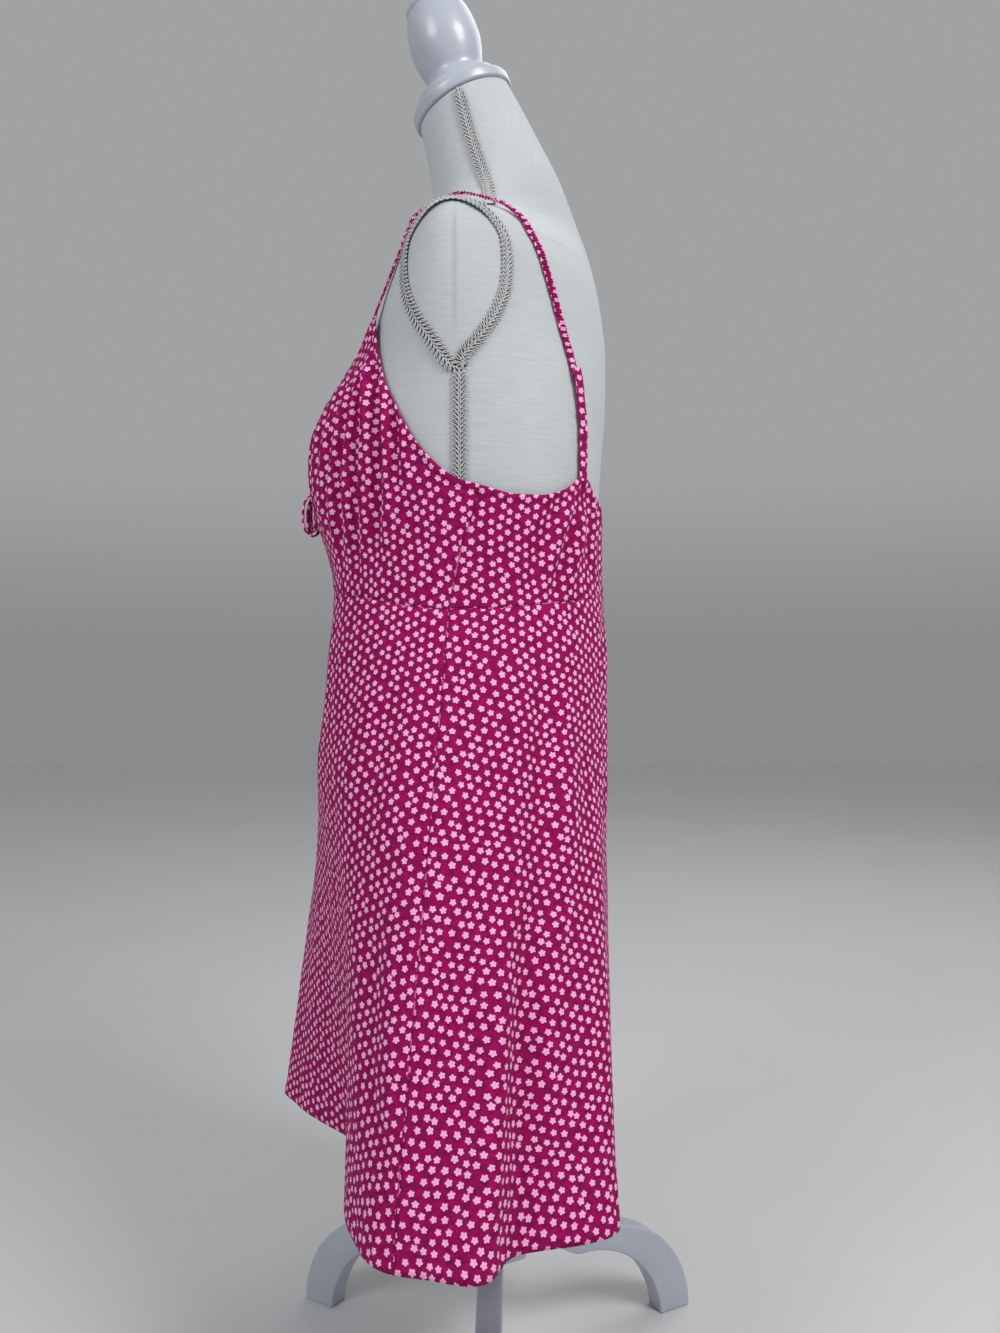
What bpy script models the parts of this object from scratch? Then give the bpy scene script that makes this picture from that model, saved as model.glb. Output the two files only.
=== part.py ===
"""A-line dress on its dress form: a strappy printed dress over a limbless, cloth-covered torso
on a pole and a three-legged wooden base.

Metres, +Z up. The wearer's front is -Y and the wearer's left is +X. Everything is modelled about
the pole's axis, then one empty carries it all so that the origin lies under the middle of the box.
"""

import math

import bmesh
import bpy
import numpy as np
from mathutils import Matrix, Vector
from mathutils.bvhtree import BVHTree

SEAM_GAP = 0.0003
"""Left between two pieces that meet or rest on each other."""

MATERIALS = {
    "printed_cloth": dict(colour=(0.62, 0.02, 0.20), roughness=0.80, metallic=0.0),
    "form_cloth": dict(colour=(0.82, 0.82, 0.80), roughness=0.90, metallic=0.0),
    "braid_cord": dict(colour=(0.52, 0.50, 0.47), roughness=0.60, metallic=0.0),
    "white_paint": dict(colour=(0.74, 0.75, 0.78), roughness=0.25, metallic=0.0),
}

# ---------------------------------------------------------------- the form's driving dimensions

TORSO_COLUMNS = ("height", "side_y", "front", "back", "half_width", "front_power", "back_power", "tilt")
TORSO = [
    (0.430, -0.020, -0.104, 0.070, 0.147, 2.2, 2.3, 0.0),
    (0.455, -0.020, -0.114, 0.080, 0.160, 2.2, 2.4, 0.0),
    (0.500, -0.020, -0.119, 0.086, 0.165, 2.2, 2.4, 0.0),
    (0.570, -0.021, -0.112, 0.084, 0.148, 2.2, 2.4, 0.0),
    (0.640, -0.022, -0.103, 0.081, 0.121, 2.2, 2.4, 0.0),
    (0.700, -0.022, -0.109, 0.088, 0.127, 2.2, 2.5, 0.0),
    (0.760, -0.022, -0.117, 0.092, 0.138, 2.2, 2.7, 0.0),
    (0.820, -0.024, -0.121, 0.0970, 0.144, 2.2, 2.45, 0.0),
    (0.870, -0.027, -0.119, 0.1012, 0.147, 2.05, 2.13, 0.0),
    (0.919, -0.028, -0.110, 0.1022, 0.152, 1.95, 1.66, 0.0),
    (0.950, -0.028, -0.0985, 0.0990, 0.153, 2.05, 1.51, 0.0),
    (0.973, -0.028, -0.0875, 0.0955, 0.153, 2.20, 1.42, 0.0),
    (0.997, -0.028, -0.079, 0.0900, 0.148, 2.10, 1.30, 0.0),
    (1.009, -0.028, -0.074, 0.0866, 0.130, 1.70, 1.28, 0.0),
    (1.019, -0.026, -0.069, 0.0828, 0.105, 1.40, 1.28, 1.0),
    (1.028, -0.022, -0.064, 0.0780, 0.085, 1.35, 1.35, 3.0),
    (1.038, -0.013, -0.060, 0.0728, 0.071, 1.55, 1.55, 7.0),
    (1.050, -0.003, -0.057, 0.0672, 0.0625, 1.80, 1.80, 11.0),
    (1.066, 0.002, -0.055, 0.0600, 0.056, 2.0, 2.0, 15.0),
    (1.090, -0.006, -0.058, 0.0475, 0.051, 2.0, 2.0, 18.0),
    (1.118, -0.015, -0.063, 0.0330, 0.047, 2.0, 2.0, 21.0),
    (1.1440, -0.0255, -0.070, 0.0190, 0.0445, 2.0, 2.0, 25.0),
]
"""One row for each section, from the hips' lower edge to the neck: front_power and back_power
square the section off (2 is an ellipse), and tilt leans it forward, in degrees."""

BUST_HEIGHT = 0.812
BUST_APART = 0.078
BUST_SPREAD = 0.048
FORM_BUST = dict(reach=0.0365, rise=0.064, drop=0.050, hollow=0.30)
CLOTH_BUST = dict(reach=0.0378, rise=0.070, drop=0.086, hollow=0.13)
"""The apex's height, distance from the middle, how far it fades sideways, and for the form and for
the cloth over it how far it reaches forward, how far it fades up and down, and the dip between."""

TORSO_SIDES = 36

ARMHOLE_COLUMNS = ("height", "half_width")
ARMHOLE = [
    (1.0012, 0.0000),
    (0.9982, 0.0180),
    (0.9914, 0.0282),
    (0.9776, 0.0377),
    (0.9560, 0.0407),
    (0.9350, 0.0392),
    (0.9130, 0.0318),
    (0.8930, 0.0191),
    (0.8745, 0.0061),
]
ARMHOLE_Y = -0.0287
"""The teardrop of braid round each armhole, on a vertical line at ARMHOLE_Y."""

SIDE_BRAID_ENDS = (0.8665, 0.768)
SIDE_BRAID_Y = -0.0252
"""The braid down the side seam: the heights of its ends."""

BRAID_WIDTH = 0.0120
BRAID_THICK = 0.0018
BRAID_LIFT = 0.0010
NORMAL_PASSES = 6

CAP_TILT = math.radians(25.0)
CAP_SEAT = Vector((0.0, -0.0255, 1.1442))
CAP_PROFILE = [
    (0.0000, 0.0456), (0.0012, 0.0472), (0.0085, 0.0475), (0.0108, 0.0460), (0.0116, 0.0420),
    (0.0128, 0.0410), (0.0175, 0.0402), (0.0198, 0.0380),
]
FINIAL_TILT = math.radians(17.0)
FINIAL_BACK = 0.003
FINIAL_PROFILE = [
    (0.0000, 0.0300), (0.0075, 0.0262), (0.0105, 0.0258), (0.0180, 0.0280), (0.0280, 0.0308),
    (0.0396, 0.0325), (0.0516, 0.0318), (0.0640, 0.0296), (0.0715, 0.0268), (0.0735, 0.0256),
    (0.0747, 0.0263), (0.0767, 0.0264), (0.0785, 0.0252), (0.0810, 0.0190), (0.0832, 0.0095),
]
"""Turned profiles as (distance along the leaning axis, radius). The finial stands more upright than
the cap, a little behind its middle, on a foot cut to the cap's slope."""

POLE_RADIUS = 0.014
HUB_ACROSS_FLATS = 0.060
HUB_LOW, HUB_HIGH = 0.106, 0.168

LEG_THICK = 0.0215
LEG_OUTER = dict(centre=(0.1165, 0.0), radius=0.1000)
LEG_INNER = dict(centre=(0.092, -0.008), radius=0.0905)
LEG_ROOT_TOP, LEG_ROOT_UNDER = 0.154, 0.114
LEG_EDGE = 0.0012
TRIPOD_TURN = math.radians(-1.6)
"""Each leg is a board: an outer arc over an inner arc, measured outwards from the pole. From the
top of each arc its edge rises to the root at the hub."""


# ---------------------------------------------------------------- the dress's driving dimensions

CLOTH = 0.0012
"""The cloth's thickness."""

BODICE = [
    (0.670, -0.022, -0.139, 0.1005, 0.1400, 2.3, 2.5, 0.0),
    (0.700, -0.022, -0.136, 0.0985, 0.1390, 2.3, 2.5, 0.0),
    (0.730, -0.022, -0.132, 0.0970, 0.1400, 2.2, 2.6, 0.0),
    (0.760, -0.022, -0.129, 0.0965, 0.1430, 2.2, 2.7, 0.0),
    (0.790, -0.0225, -0.128, 0.0980, 0.1460, 2.2, 2.6, 0.0),
    (0.820, -0.024, -0.1268, 0.1010, 0.1485, 2.2, 2.5, 0.0),
    (0.870, -0.027, -0.1235, 0.1055, 0.1515, 2.05, 2.2, 0.0),
    (0.930, -0.028, -0.1135, 0.1060, 0.1565, 1.98, 1.70, 0.0),
]
"""The outside of the cloth above the waist, in the torso's columns."""

EDGE_COLUMNS = ("bearing", "height")
TOP_EDGE = [
    (0, 0.806), (6, 0.818), (14, 0.846), (22, 0.880), (29, 0.911), (33, 0.9235), (38.8, 0.9235),
    (42, 0.913), (47, 0.898), (53, 0.880), (60, 0.857), (67, 0.835), (73, 0.815), (79, 0.800),
    (86, 0.787), (95, 0.777), (104, 0.7720), (113, 0.7720), (122, 0.7755), (130, 0.7820), (136.5, 0.7900),
    (142.5, 0.7900), (147, 0.783), (154, 0.776), (166, 0.772), (180, 0.771),
]
EMPIRE_SEAM = [(0, 0.708), (45, 0.694), (86, 0.682), (130, 0.690), (180, 0.702)]
"""Heights of the neckline and armholes, and of the seam under the bust, by bearing from the front."""

SIDE_SEAM = 86.0
SIDE_SEAM_SWING = 7.0
SEAM_BEARING_GAP = 0.07
"""The side seams' bearing, how far they swing back from the waist seam up to the top edge, and what
each panel stops short of them, in degrees."""

HEM_HEIGHT = 0.234
HEM_TREND = dict(side_y=-0.060, front=-0.184, back=0.103, half_width=0.272, front_power=1.75, back_power=2.5)
"""The hem's plan as a plain oval, before its folds."""

HEM_COLUMNS = ("bearing", "x", "y")
HEM_FOLDS = [
    (-172, -0.050, 0.0985),
    (-162, -0.120, 0.0860),
    (-151, -0.192, 0.0935),
    (-143, -0.224, 0.0840),
    (-134, -0.240, 0.0580),
    (-124, -0.249, 0.0300),
    (-115, -0.262, 0.0135),
    (-108, -0.279, -0.0020),
    (-99, -0.280, -0.0230),
    (-92, -0.275, -0.0430),
    (-84, -0.2645, -0.0665),
    (-75, -0.245, -0.0860),
    (-63, -0.210, -0.1030),
    (-49, -0.166, -0.1030),
    (-36, -0.123, -0.1260),
    (-24, -0.082, -0.1740),
    (-12, -0.044, -0.1985),
    (-3, -0.008, -0.1800),
    (8, 0.026, -0.1550),
    (22, 0.064, -0.1215),
    (37, 0.122, -0.0960),
    (50, 0.172, -0.1085),
    (60, 0.200, -0.1060),
    (69, 0.230, -0.0950),
    (78, 0.257, -0.0820),
    (86, 0.2695, -0.0660),
    (94, 0.2765, -0.0390),
    (101, 0.2835, -0.0145),
    (106, 0.279, 0.0000),
    (111, 0.262, 0.0075),
    (117, 0.2485, 0.0145),
    (126, 0.240, 0.0360),
    (136, 0.233, 0.0630),
    (144, 0.221, 0.0860),
    (151, 0.200, 0.0935),
    (161, 0.125, 0.0870),
    (171, 0.058, 0.0990),
    (180, 0.005, 0.1085),
]
"""The hem's plan: one row for each crest and hollow of the folds and for each side between them."""

FOLD_START = 0.30
FOLD_GROWTH = 1.15
"""How far down the skirt the folds begin, as a share of its length, and how they deepen."""

STRAP_WIDTH = 0.0092
STRAP_THICK = 0.0018
BACK_STRAP_WIDTH = 0.0112
BACK_STRAP_THICK = 0.0024
STRAP_LIFT = 0.0010
STRAP_OVER_SEAM = BRAID_LIFT + BRAID_THICK + 0.0006
STRAP_COLUMNS = ("x", "y", "z", "lift")
STRAP = [
    (0.0880, -0.0840, 0.945, 0.0020),
    (0.1030, -0.0730, 0.972, STRAP_LIFT),
    (0.1100, -0.0590, 0.996, 0.0014),
    (0.1075, -0.0400, 1.0120, 0.0018),
    (0.1020, -0.0220, 1.0180, STRAP_OVER_SEAM),
    (0.0990, 0.0060, 1.0125, STRAP_OVER_SEAM),
    (0.1020, 0.0190, 1.0030, 0.0018),
    (0.1045, 0.0325, 0.9860, STRAP_LIFT),
    (0.1050, 0.0475, 0.9480, STRAP_LIFT),
    (0.1050, 0.0600, 0.9000, STRAP_LIFT),
    (0.1045, 0.0680, 0.8690, STRAP_LIFT),
]
"""The left strap over the shoulder, and how high it stands off the form."""

BACK_STRAP = [
    (0.1045, 0.0655, 0.8790, STRAP_LIFT + STRAP_THICK + 0.0006),
    (0.1045, 0.0680, 0.8690, STRAP_LIFT + STRAP_THICK + 0.0006),
    (0.1045, 0.0715, 0.8560, 0.0020),
    (0.1040, 0.0745, 0.8300, 0.0020),
]
STRAP_BEARING = 36.0
BACK_STRAP_BEARING = 139.5
STRAP_END_GAP = 0.0006
STRAP_LEAD = 0.006
"""The doubled back length, the bearings at which the straps meet the bodice's edge, and the gap and
the straight lead above it."""

BOW_HEIGHT = 0.7900
BOW_LOOP = [
    (0.0048, -0.0010, 0.0020),
    (0.0088, -0.0050, -0.0010),
    (0.0122, -0.0078, -0.0120),
    (0.0130, -0.0076, -0.0240),
    (0.0118, -0.0036, -0.0325),
    (0.0092, 0.0014, -0.0290),
    (0.0068, 0.0008, -0.0150),
    (0.0054, -0.0006, -0.0060),
]
BOW_TAIL = [(0.0028, -0.0022, -0.0062), (0.0046, -0.0030, -0.0150), (0.0062, -0.0026, -0.0290)]
BOW_WIDTH = 0.0042
BOW_THICK = 0.0013
KNOT_SIZE = (0.0080, 0.0046, 0.0090)
"""The bow at the middle of the neckline, from its knot's centre: sideways, forward (-) and up."""


# ---------------------------------------------------------------- shared helpers

def finish(name, mesh_owner, material):
    """Turns a bmesh into a named object with its material."""
    mesh = bpy.data.meshes.new(name)
    mesh_owner.to_mesh(mesh)
    mesh_owner.free()
    mesh.materials.append(bpy.data.materials[material])
    obj = bpy.data.objects.new(name, mesh)
    bpy.context.collection.objects.link(obj)
    obj.parent = bpy.data.objects["pole_axis"]
    mesh.shade_smooth()
    mesh.set_sharp_from_angle(angle=math.radians(40))
    return obj


def make_materials():
    for name, look in MATERIALS.items():
        material = bpy.data.materials.new(name)
        material.use_nodes = True
        shader = material.node_tree.nodes["Principled BSDF"]
        shader.inputs["Base Color"].default_value = (*look["colour"], 1)
        shader.inputs["Roughness"].default_value = look["roughness"]
        shader.inputs["Metallic"].default_value = look["metallic"]


def curve_through(keys, values):
    """A smooth curve through a table's rows that doesn't overshoot between them."""
    keys = np.asarray(keys, float)
    values = np.asarray(values, float)
    if keys[0] > keys[-1]:
        keys, values = keys[::-1], values[::-1]
    steps = np.diff(keys)
    rises = np.diff(values) / steps
    slopes = np.zeros_like(values)
    slopes[0], slopes[-1] = rises[0], rises[-1]
    for i in range(1, len(keys) - 1):
        before, after = rises[i - 1], rises[i]
        if before * after > 0:
            slopes[i] = 2 * before * after / (before + after)

    def at(key):
        key = min(max(key, keys[0]), keys[-1])
        i = min(int(np.searchsorted(keys, key, side="right")) - 1, len(steps) - 1)
        t = (key - keys[i]) / steps[i]
        start = (1 + 2 * t) * (1 - t) ** 2 * values[i] + t * (1 - t) ** 2 * steps[i] * slopes[i]
        end = t * t * (3 - 2 * t) * values[i + 1] + t * t * (t - 1) * steps[i] * slopes[i + 1]
        return float(start + end)

    return at


def table_curves(rows, columns):
    """One curve for each column, all following the first column."""
    keys = [row[0] for row in rows]
    return {name: curve_through(keys, [row[i] for row in rows]) for i, name in enumerate(columns)}


def power(value, exponent):
    return math.copysign(abs(value) ** exponent, value)


def loft(name, rings, material):
    """A closed solid through rings of equal count, with flat ends."""
    bm = bmesh.new()
    loops = [[bm.verts.new(point) for point in ring] for ring in rings]
    for low, high in zip(loops, loops[1:]):
        for i in range(len(low)):
            j = (i + 1) % len(low)
            bm.faces.new((low[i], low[j], high[j], high[i]))
    bm.faces.new(reversed(loops[0]))
    bm.faces.new(loops[-1])
    bmesh.ops.recalc_face_normals(bm, faces=bm.faces)
    return finish(name, bm, material)


def band(name, centres, outs, width, thick, material, surface=None, lift=0.0):
    """A flat band along a path: outs point away from what it lies on and centres are on its
    underside. Given a surface, the underside is dropped to it across the whole width."""
    rings = []
    count = len(centres)
    half = width / 2
    ease = min(thick, half) * 0.35
    for i, (centre, out) in enumerate(zip(centres, outs)):
        along = (centres[min(i + 1, count - 1)] - centres[max(i - 1, 0)]).normalized()
        across = along.cross(out).normalized()
        up = across.cross(along).normalized()
        under = {}
        for side in (-half, 0.0, half):
            point = centre + across * side
            if surface:
                hit = surface.find_nearest(point)[0]
                point = point + up * max(lift - (point - hit).dot(up), 0.0)
            under[side] = point
        rings.append([under[-half], under[0.0], under[half], under[half] + up * thick - across * ease,
                      under[0.0] + up * thick, under[-half] + up * thick + across * ease])
    return loft(name, rings, material)


# ---------------------------------------------------------------- the form's surface

TORSO_AT = table_curves(TORSO, TORSO_COLUMNS)


def bust_push(x, height, bust):
    """How far the bust stands forward of the plain section."""
    fade_over = bust["rise"] if height > BUST_HEIGHT else bust["drop"]
    fade = math.exp(-abs((height - BUST_HEIGHT) / fade_over) ** 2.6)
    beyond = abs(x) - BUST_APART
    if beyond > 0:
        side = math.exp(-(beyond / BUST_SPREAD) ** 2)
    else:
        side = 1 - bust["hollow"] * math.cos(math.pi / 2 * x / BUST_APART) ** 2
    return bust["reach"] * fade * side


def section_point(curves, bust, height, bearing):
    """A point of a table of sections. The bearing is in degrees from the front, towards the left."""
    row = {name: at(height) for name, at in curves.items()}
    turn = math.radians(bearing)
    facing_front = math.cos(turn) > 0
    exponent = 2 / (row["front_power"] if facing_front else row["back_power"])
    x = row["half_width"] * power(math.sin(turn), exponent)
    reach = row["side_y"] - row["front"] if facing_front else row["back"] - row["side_y"]
    depth = -reach * power(math.cos(turn), exponent)
    if facing_front:
        depth -= bust_push(x, height, bust) * abs(math.cos(turn)) ** 0.6
    lean = math.radians(row["tilt"])
    return Vector((x, row["side_y"] + depth * math.cos(lean), height + depth * math.sin(lean)))


def torso_point(height, bearing):
    return section_point(TORSO_AT, FORM_BUST, height, bearing)


def torso_ring(height, sides):
    return [torso_point(height, 360 * i / sides) for i in range(sides)]


def torso_heights():
    """Closer together round the bust, the shoulder and the neck."""
    spans = [(0.430, 0.455, 1), (0.455, 0.740, 6), (0.740, 0.985, 11), (0.985, 1.050, 7), (1.050, 1.144, 5)]
    heights = [spans[0][0]]
    for low, high, count in spans:
        heights += [low + (high - low) * (i + 1) / count for i in range(count)]
    return heights


def surface_of(obj):
    """The object's own facets, for laying bands on."""
    obj.data.calc_loop_triangles()
    points = [vertex.co.copy() for vertex in obj.data.vertices]
    return BVHTree.FromPolygons(points, [triangle.vertices for triangle in obj.data.loop_triangles])


def smooth_route(points, count):
    """A smooth path through a few points, as count evenly shared stations."""
    points = [Vector(point) for point in points]
    lengths = [0.0]
    for a, b in zip(points, points[1:]):
        lengths.append(lengths[-1] + (b - a).length)
    curves = [curve_through(lengths, [point[axis] for point in points]) for axis in range(3)]
    return [Vector([at(lengths[-1] * i / (count - 1)) for at in curves]) for i in range(count)]


def laid_on(surface, route, lift):
    """The route's points dropped to the form's surface and lifted off it, with outward directions."""
    hits = [surface.find_nearest(point) for point in route]
    outs = [hit[1] if (point - hit[0]).dot(hit[1]) >= -0.05 else -hit[1] for point, hit in zip(route, hits)]
    for _ in range(NORMAL_PASSES):
        outs = [(outs[max(i - 1, 0)] + outs[i] * 2 + outs[min(i + 1, len(outs) - 1)]).normalized()
                for i in range(len(outs))]
    return [hit[0] + out * lift for hit, out in zip(hits, outs)], outs


# ---------------------------------------------------------------- the form's pieces

def make_torso():
    return loft("torso", [torso_ring(height, TORSO_SIDES) for height in torso_heights()], "form_cloth")


def turned(name, profile, seat, tilt, sides, material):
    """A turned piece on a leaning axis, its foot cut to the cap's slope."""
    rings = []
    for row, (along, radius) in enumerate(profile):
        lean = Matrix.Rotation(tilt if row else CAP_TILT, 4, "X")
        turns = [2 * math.pi * i / sides for i in range(sides)]
        ring = [Vector((radius * math.sin(turn), -radius * math.cos(turn), along)) for turn in turns]
        rings.append([seat + lean @ point for point in ring])
    return loft(name, rings, material)


def make_neck_cap():
    slope = Matrix.Rotation(CAP_TILT, 4, "X")
    cap_seat = CAP_SEAT + slope @ Vector((0, 0, SEAM_GAP))
    turned("neck_cap", CAP_PROFILE, cap_seat, CAP_TILT, 28, "white_paint")
    finial_seat = cap_seat + slope @ Vector((0, FINIAL_BACK, CAP_PROFILE[-1][0] + SEAM_GAP))
    turned("finial", FINIAL_PROFILE, finial_seat, FINIAL_TILT, 24, "white_paint")


def make_pole_and_hub():
    round_sides = 24
    rings = []
    for height in (HUB_HIGH + SEAM_GAP, TORSO[0][0] - SEAM_GAP):
        rings.append([Vector((POLE_RADIUS * math.cos(2 * math.pi * i / round_sides),
                              POLE_RADIUS * math.sin(2 * math.pi * i / round_sides), height))
                      for i in range(round_sides)])
    loft("pole", rings, "white_paint")
    corner = HUB_ACROSS_FLATS / 2 / math.cos(math.pi / 6)
    chamfer = 0.004
    sections = [(HUB_LOW, corner - chamfer), (HUB_LOW + chamfer, corner),
                (HUB_HIGH - chamfer, corner), (HUB_HIGH, corner - chamfer)]
    rings = []
    for height, radius in sections:
        turns = [TRIPOD_TURN + math.pi / 6 + math.pi / 3 * i for i in range(6)]
        rings.append([Vector((radius * math.cos(turn), radius * math.sin(turn), height)) for turn in turns])
    loft("hub", rings, "white_paint")


def arc_points(arc, start_out, end_out, count):
    """Points of an arc over the floor between two distances from the pole."""
    (middle, base), radius = arc["centre"], arc["radius"]

    def angle(out):
        return math.acos(max(-1.0, min(1.0, (out - middle) / radius)))

    first, last = angle(start_out), angle(end_out)
    turns = [first + (last - first) * i / (count - 1) for i in range(count)]
    return [(middle + radius * math.cos(t), base + radius * math.sin(t)) for t in turns]


def rise_to_root(start, root, count):
    """An edge that leaves the top of an arc level and ends level at the hub."""
    points = []
    for i in range(1, count + 1):
        t = i / count
        eased = t * t * (3 - 2 * t)
        points.append((start[0] + (root[0] - start[0]) * t, start[1] + (root[1] - start[1]) * eased))
    return points


def leg_outline():
    """The board's outline as (distance from the pole, height), from the toe up over the top."""
    toe = LEG_OUTER["centre"][0] + LEG_OUTER["radius"]
    middle, drop = LEG_INNER["centre"]
    heel = middle + math.sqrt(LEG_INNER["radius"] ** 2 - drop ** 2)
    root = HUB_ACROSS_FLATS / 2 + SEAM_GAP
    over = arc_points(LEG_OUTER, toe, LEG_OUTER["centre"][0], 12)
    under = arc_points(LEG_INNER, middle, heel, 12)
    return (over + rise_to_root(over[-1], (root, LEG_ROOT_TOP), 5)
            + rise_to_root(under[0], (root, LEG_ROOT_UNDER), 5)[::-1] + under)


def make_leg(name, bearing):
    bm = bmesh.new()
    turn = Matrix.Rotation(bearing, 4, "Z")
    side = [bm.verts.new(turn @ Vector((out, -LEG_THICK / 2, height))) for out, height in leg_outline()]
    face = bm.faces.new(side)
    grown = bmesh.ops.extrude_face_region(bm, geom=[face])
    moved = [item for item in grown["geom"] if isinstance(item, bmesh.types.BMVert)]
    bmesh.ops.translate(bm, verts=moved, vec=turn @ Vector((0, LEG_THICK, 0)))
    bmesh.ops.recalc_face_normals(bm, faces=bm.faces)
    leg = finish(name, bm, "white_paint")
    bevel = leg.modifiers.new("edges", "BEVEL")
    bevel.width = LEG_EDGE
    bevel.segments = 1
    bevel.limit_method = "ANGLE"
    bevel.angle_limit = math.radians(50)
    return leg


def armhole_route(side, heights_down, sides_of_line):
    """Points of the teardrop, given as heights and the side of its middle line (-1 is the front)."""
    width_at = table_curves(ARMHOLE, ARMHOLE_COLUMNS)["half_width"]
    return [(side * 0.20, ARMHOLE_Y + way * width_at(height), height)
            for height, way in zip(heights_down, sides_of_line)]


def make_armhole_braid(surface, name, side):
    """One loop from the lowest point up the front, over the top and down the back."""
    up_front = [row[0] for row in reversed(ARMHOLE)]
    down_back = [row[0] for row in ARMHOLE[1:]]
    route = armhole_route(side, up_front, [-1] * len(up_front))
    route += armhole_route(side, down_back, [1] * len(down_back))
    route = [side_hit(surface, point, side) for point in route]
    stations = smooth_route(route, 46)
    centres, outs = laid_on(surface, stations, BRAID_LIFT)
    return band(name, centres, outs, BRAID_WIDTH, BRAID_THICK, "braid_cord", surface, BRAID_LIFT)


def side_hit(surface, point, side):
    """Where a line from beside the form, straight inwards, meets it."""
    hit = surface.ray_cast(Vector(point), Vector((-side, 0, 0)))
    return hit[0] if hit[0] else Vector(point)


def make_side_braid(surface, name, side):
    """Straight down from the armhole's lowest point, ending under the dress's edge."""
    heights = np.linspace(*SIDE_BRAID_ENDS, 12)
    route = [side_hit(surface, (side * 0.20, SIDE_BRAID_Y, height), side) for height in heights]
    centres, outs = laid_on(surface, route, BRAID_LIFT)
    return band(name, centres, outs, BRAID_WIDTH, BRAID_THICK, "braid_cord", surface, BRAID_LIFT)


SHOULDER_SEAM = [
    (0.0425, -0.0290, 1.1370),
    (0.0490, -0.0215, 1.1050),
    (0.0560, -0.0110, 1.0700),
    (0.0680, -0.0030, 1.0430),
    (0.0880, -0.0015, 1.0260),
    (0.1120, -0.0055, 1.0150),
    (0.1300, -0.0105, 1.0060),
]
"""The wearer's left shoulder seam, from under the neck cap to just above the armhole."""


def make_shoulder_braid(surface, name, side):
    route = smooth_route([(side * x, y, z) for x, y, z in SHOULDER_SEAM], 24)
    centres, outs = laid_on(surface, route, BRAID_LIFT)
    return band(name, centres, outs, BRAID_WIDTH, BRAID_THICK, "braid_cord", surface, BRAID_LIFT)


def make_form(surface):
    make_neck_cap()
    make_pole_and_hub()
    for name, bearing in (("leg_left", 0.0), ("leg_back", 120.0), ("leg_front", -120.0)):
        make_leg(name, math.radians(bearing) + TRIPOD_TURN)
    for word, side in (("left", 1), ("right", -1)):
        make_armhole_braid(surface, f"armhole_braid_{word}", side)
        make_side_braid(surface, f"side_braid_{word}", side)
        make_shoulder_braid(surface, f"shoulder_braid_{word}", side)


# ---------------------------------------------------------------- the dress's surface

BODICE_AT = table_curves(BODICE, TORSO_COLUMNS)
TOP_EDGE_AT = table_curves(TOP_EDGE, EDGE_COLUMNS)["height"]
EMPIRE_SEAM_AT = table_curves(EMPIRE_SEAM, EDGE_COLUMNS)["height"]


def ring_curve(rows):
    """A smooth closed curve through rows of (bearing, x, y)."""
    before = [(row[0] - 360, *row[1:]) for row in rows[-2:]]
    after = [(row[0] + 360, *row[1:]) for row in rows[:2]]
    rows = before + rows + after

    def at(bearing):
        bearing = (bearing + 180) % 360 - 180
        i = max(k for k in range(1, len(rows) - 2) if rows[k][0] <= bearing)
        span = rows[i + 1][0] - rows[i][0]
        t = (bearing - rows[i][0]) / span
        found = []
        for axis in (HEM_COLUMNS.index("x"), HEM_COLUMNS.index("y")):
            before, start, end, after = (rows[i + k][axis] for k in (-1, 0, 1, 2))
            start_slope = (end - before) / (rows[i + 1][0] - rows[i - 1][0]) * span
            end_slope = (after - start) / (rows[i + 2][0] - rows[i][0]) * span
            found.append((2 * t ** 3 - 3 * t ** 2 + 1) * start + (t ** 3 - 2 * t ** 2 + t) * start_slope
                         + (3 * t ** 2 - 2 * t ** 3) * end + (t ** 3 - t ** 2) * end_slope)
        return found

    return at


HEM_AT = ring_curve(HEM_FOLDS)
TREND_AT = {name: (lambda height, value=value: value) for name, value in (*HEM_TREND.items(), ("tilt", 0.0))}
NO_BUST = dict(reach=0.0, rise=1.0, drop=1.0, hollow=0.0)


def bodice_point(height, bearing):
    return section_point(BODICE_AT, CLOTH_BUST, height, bearing)


def skirt_point(share, bearing):
    """A point of the skirt's outside; share runs from 0 at the seam to 1 at the hem."""
    top = bodice_point(EMPIRE_SEAM_AT(abs(bearing)) - SEAM_GAP, bearing)
    trend = section_point(TREND_AT, NO_BUST, HEM_HEIGHT, bearing)
    hem_x, hem_y = HEM_AT(bearing)
    grown = max(share - FOLD_START, 0.0) / (1 - FOLD_START)
    fold = Vector((hem_x, hem_y, HEM_HEIGHT)) - trend
    return top.lerp(trend, share) + fold * grown ** FOLD_GROWTH


# ---------------------------------------------------------------- the dress's pieces

def outward(point_at, share, bearing):
    """The way straight out of a wall of cloth, from its slopes along and across."""
    around = point_at(share, bearing + 0.5) - point_at(share, bearing - 0.5)
    low, high = max(share - 0.02, 0.0), min(share + 0.02, 1.0)
    way = around.cross(point_at(high, bearing) - point_at(low, bearing)).normalized()
    return way if point_at(1.0, 0.0).z > point_at(0.0, 0.0).z else -way


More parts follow.
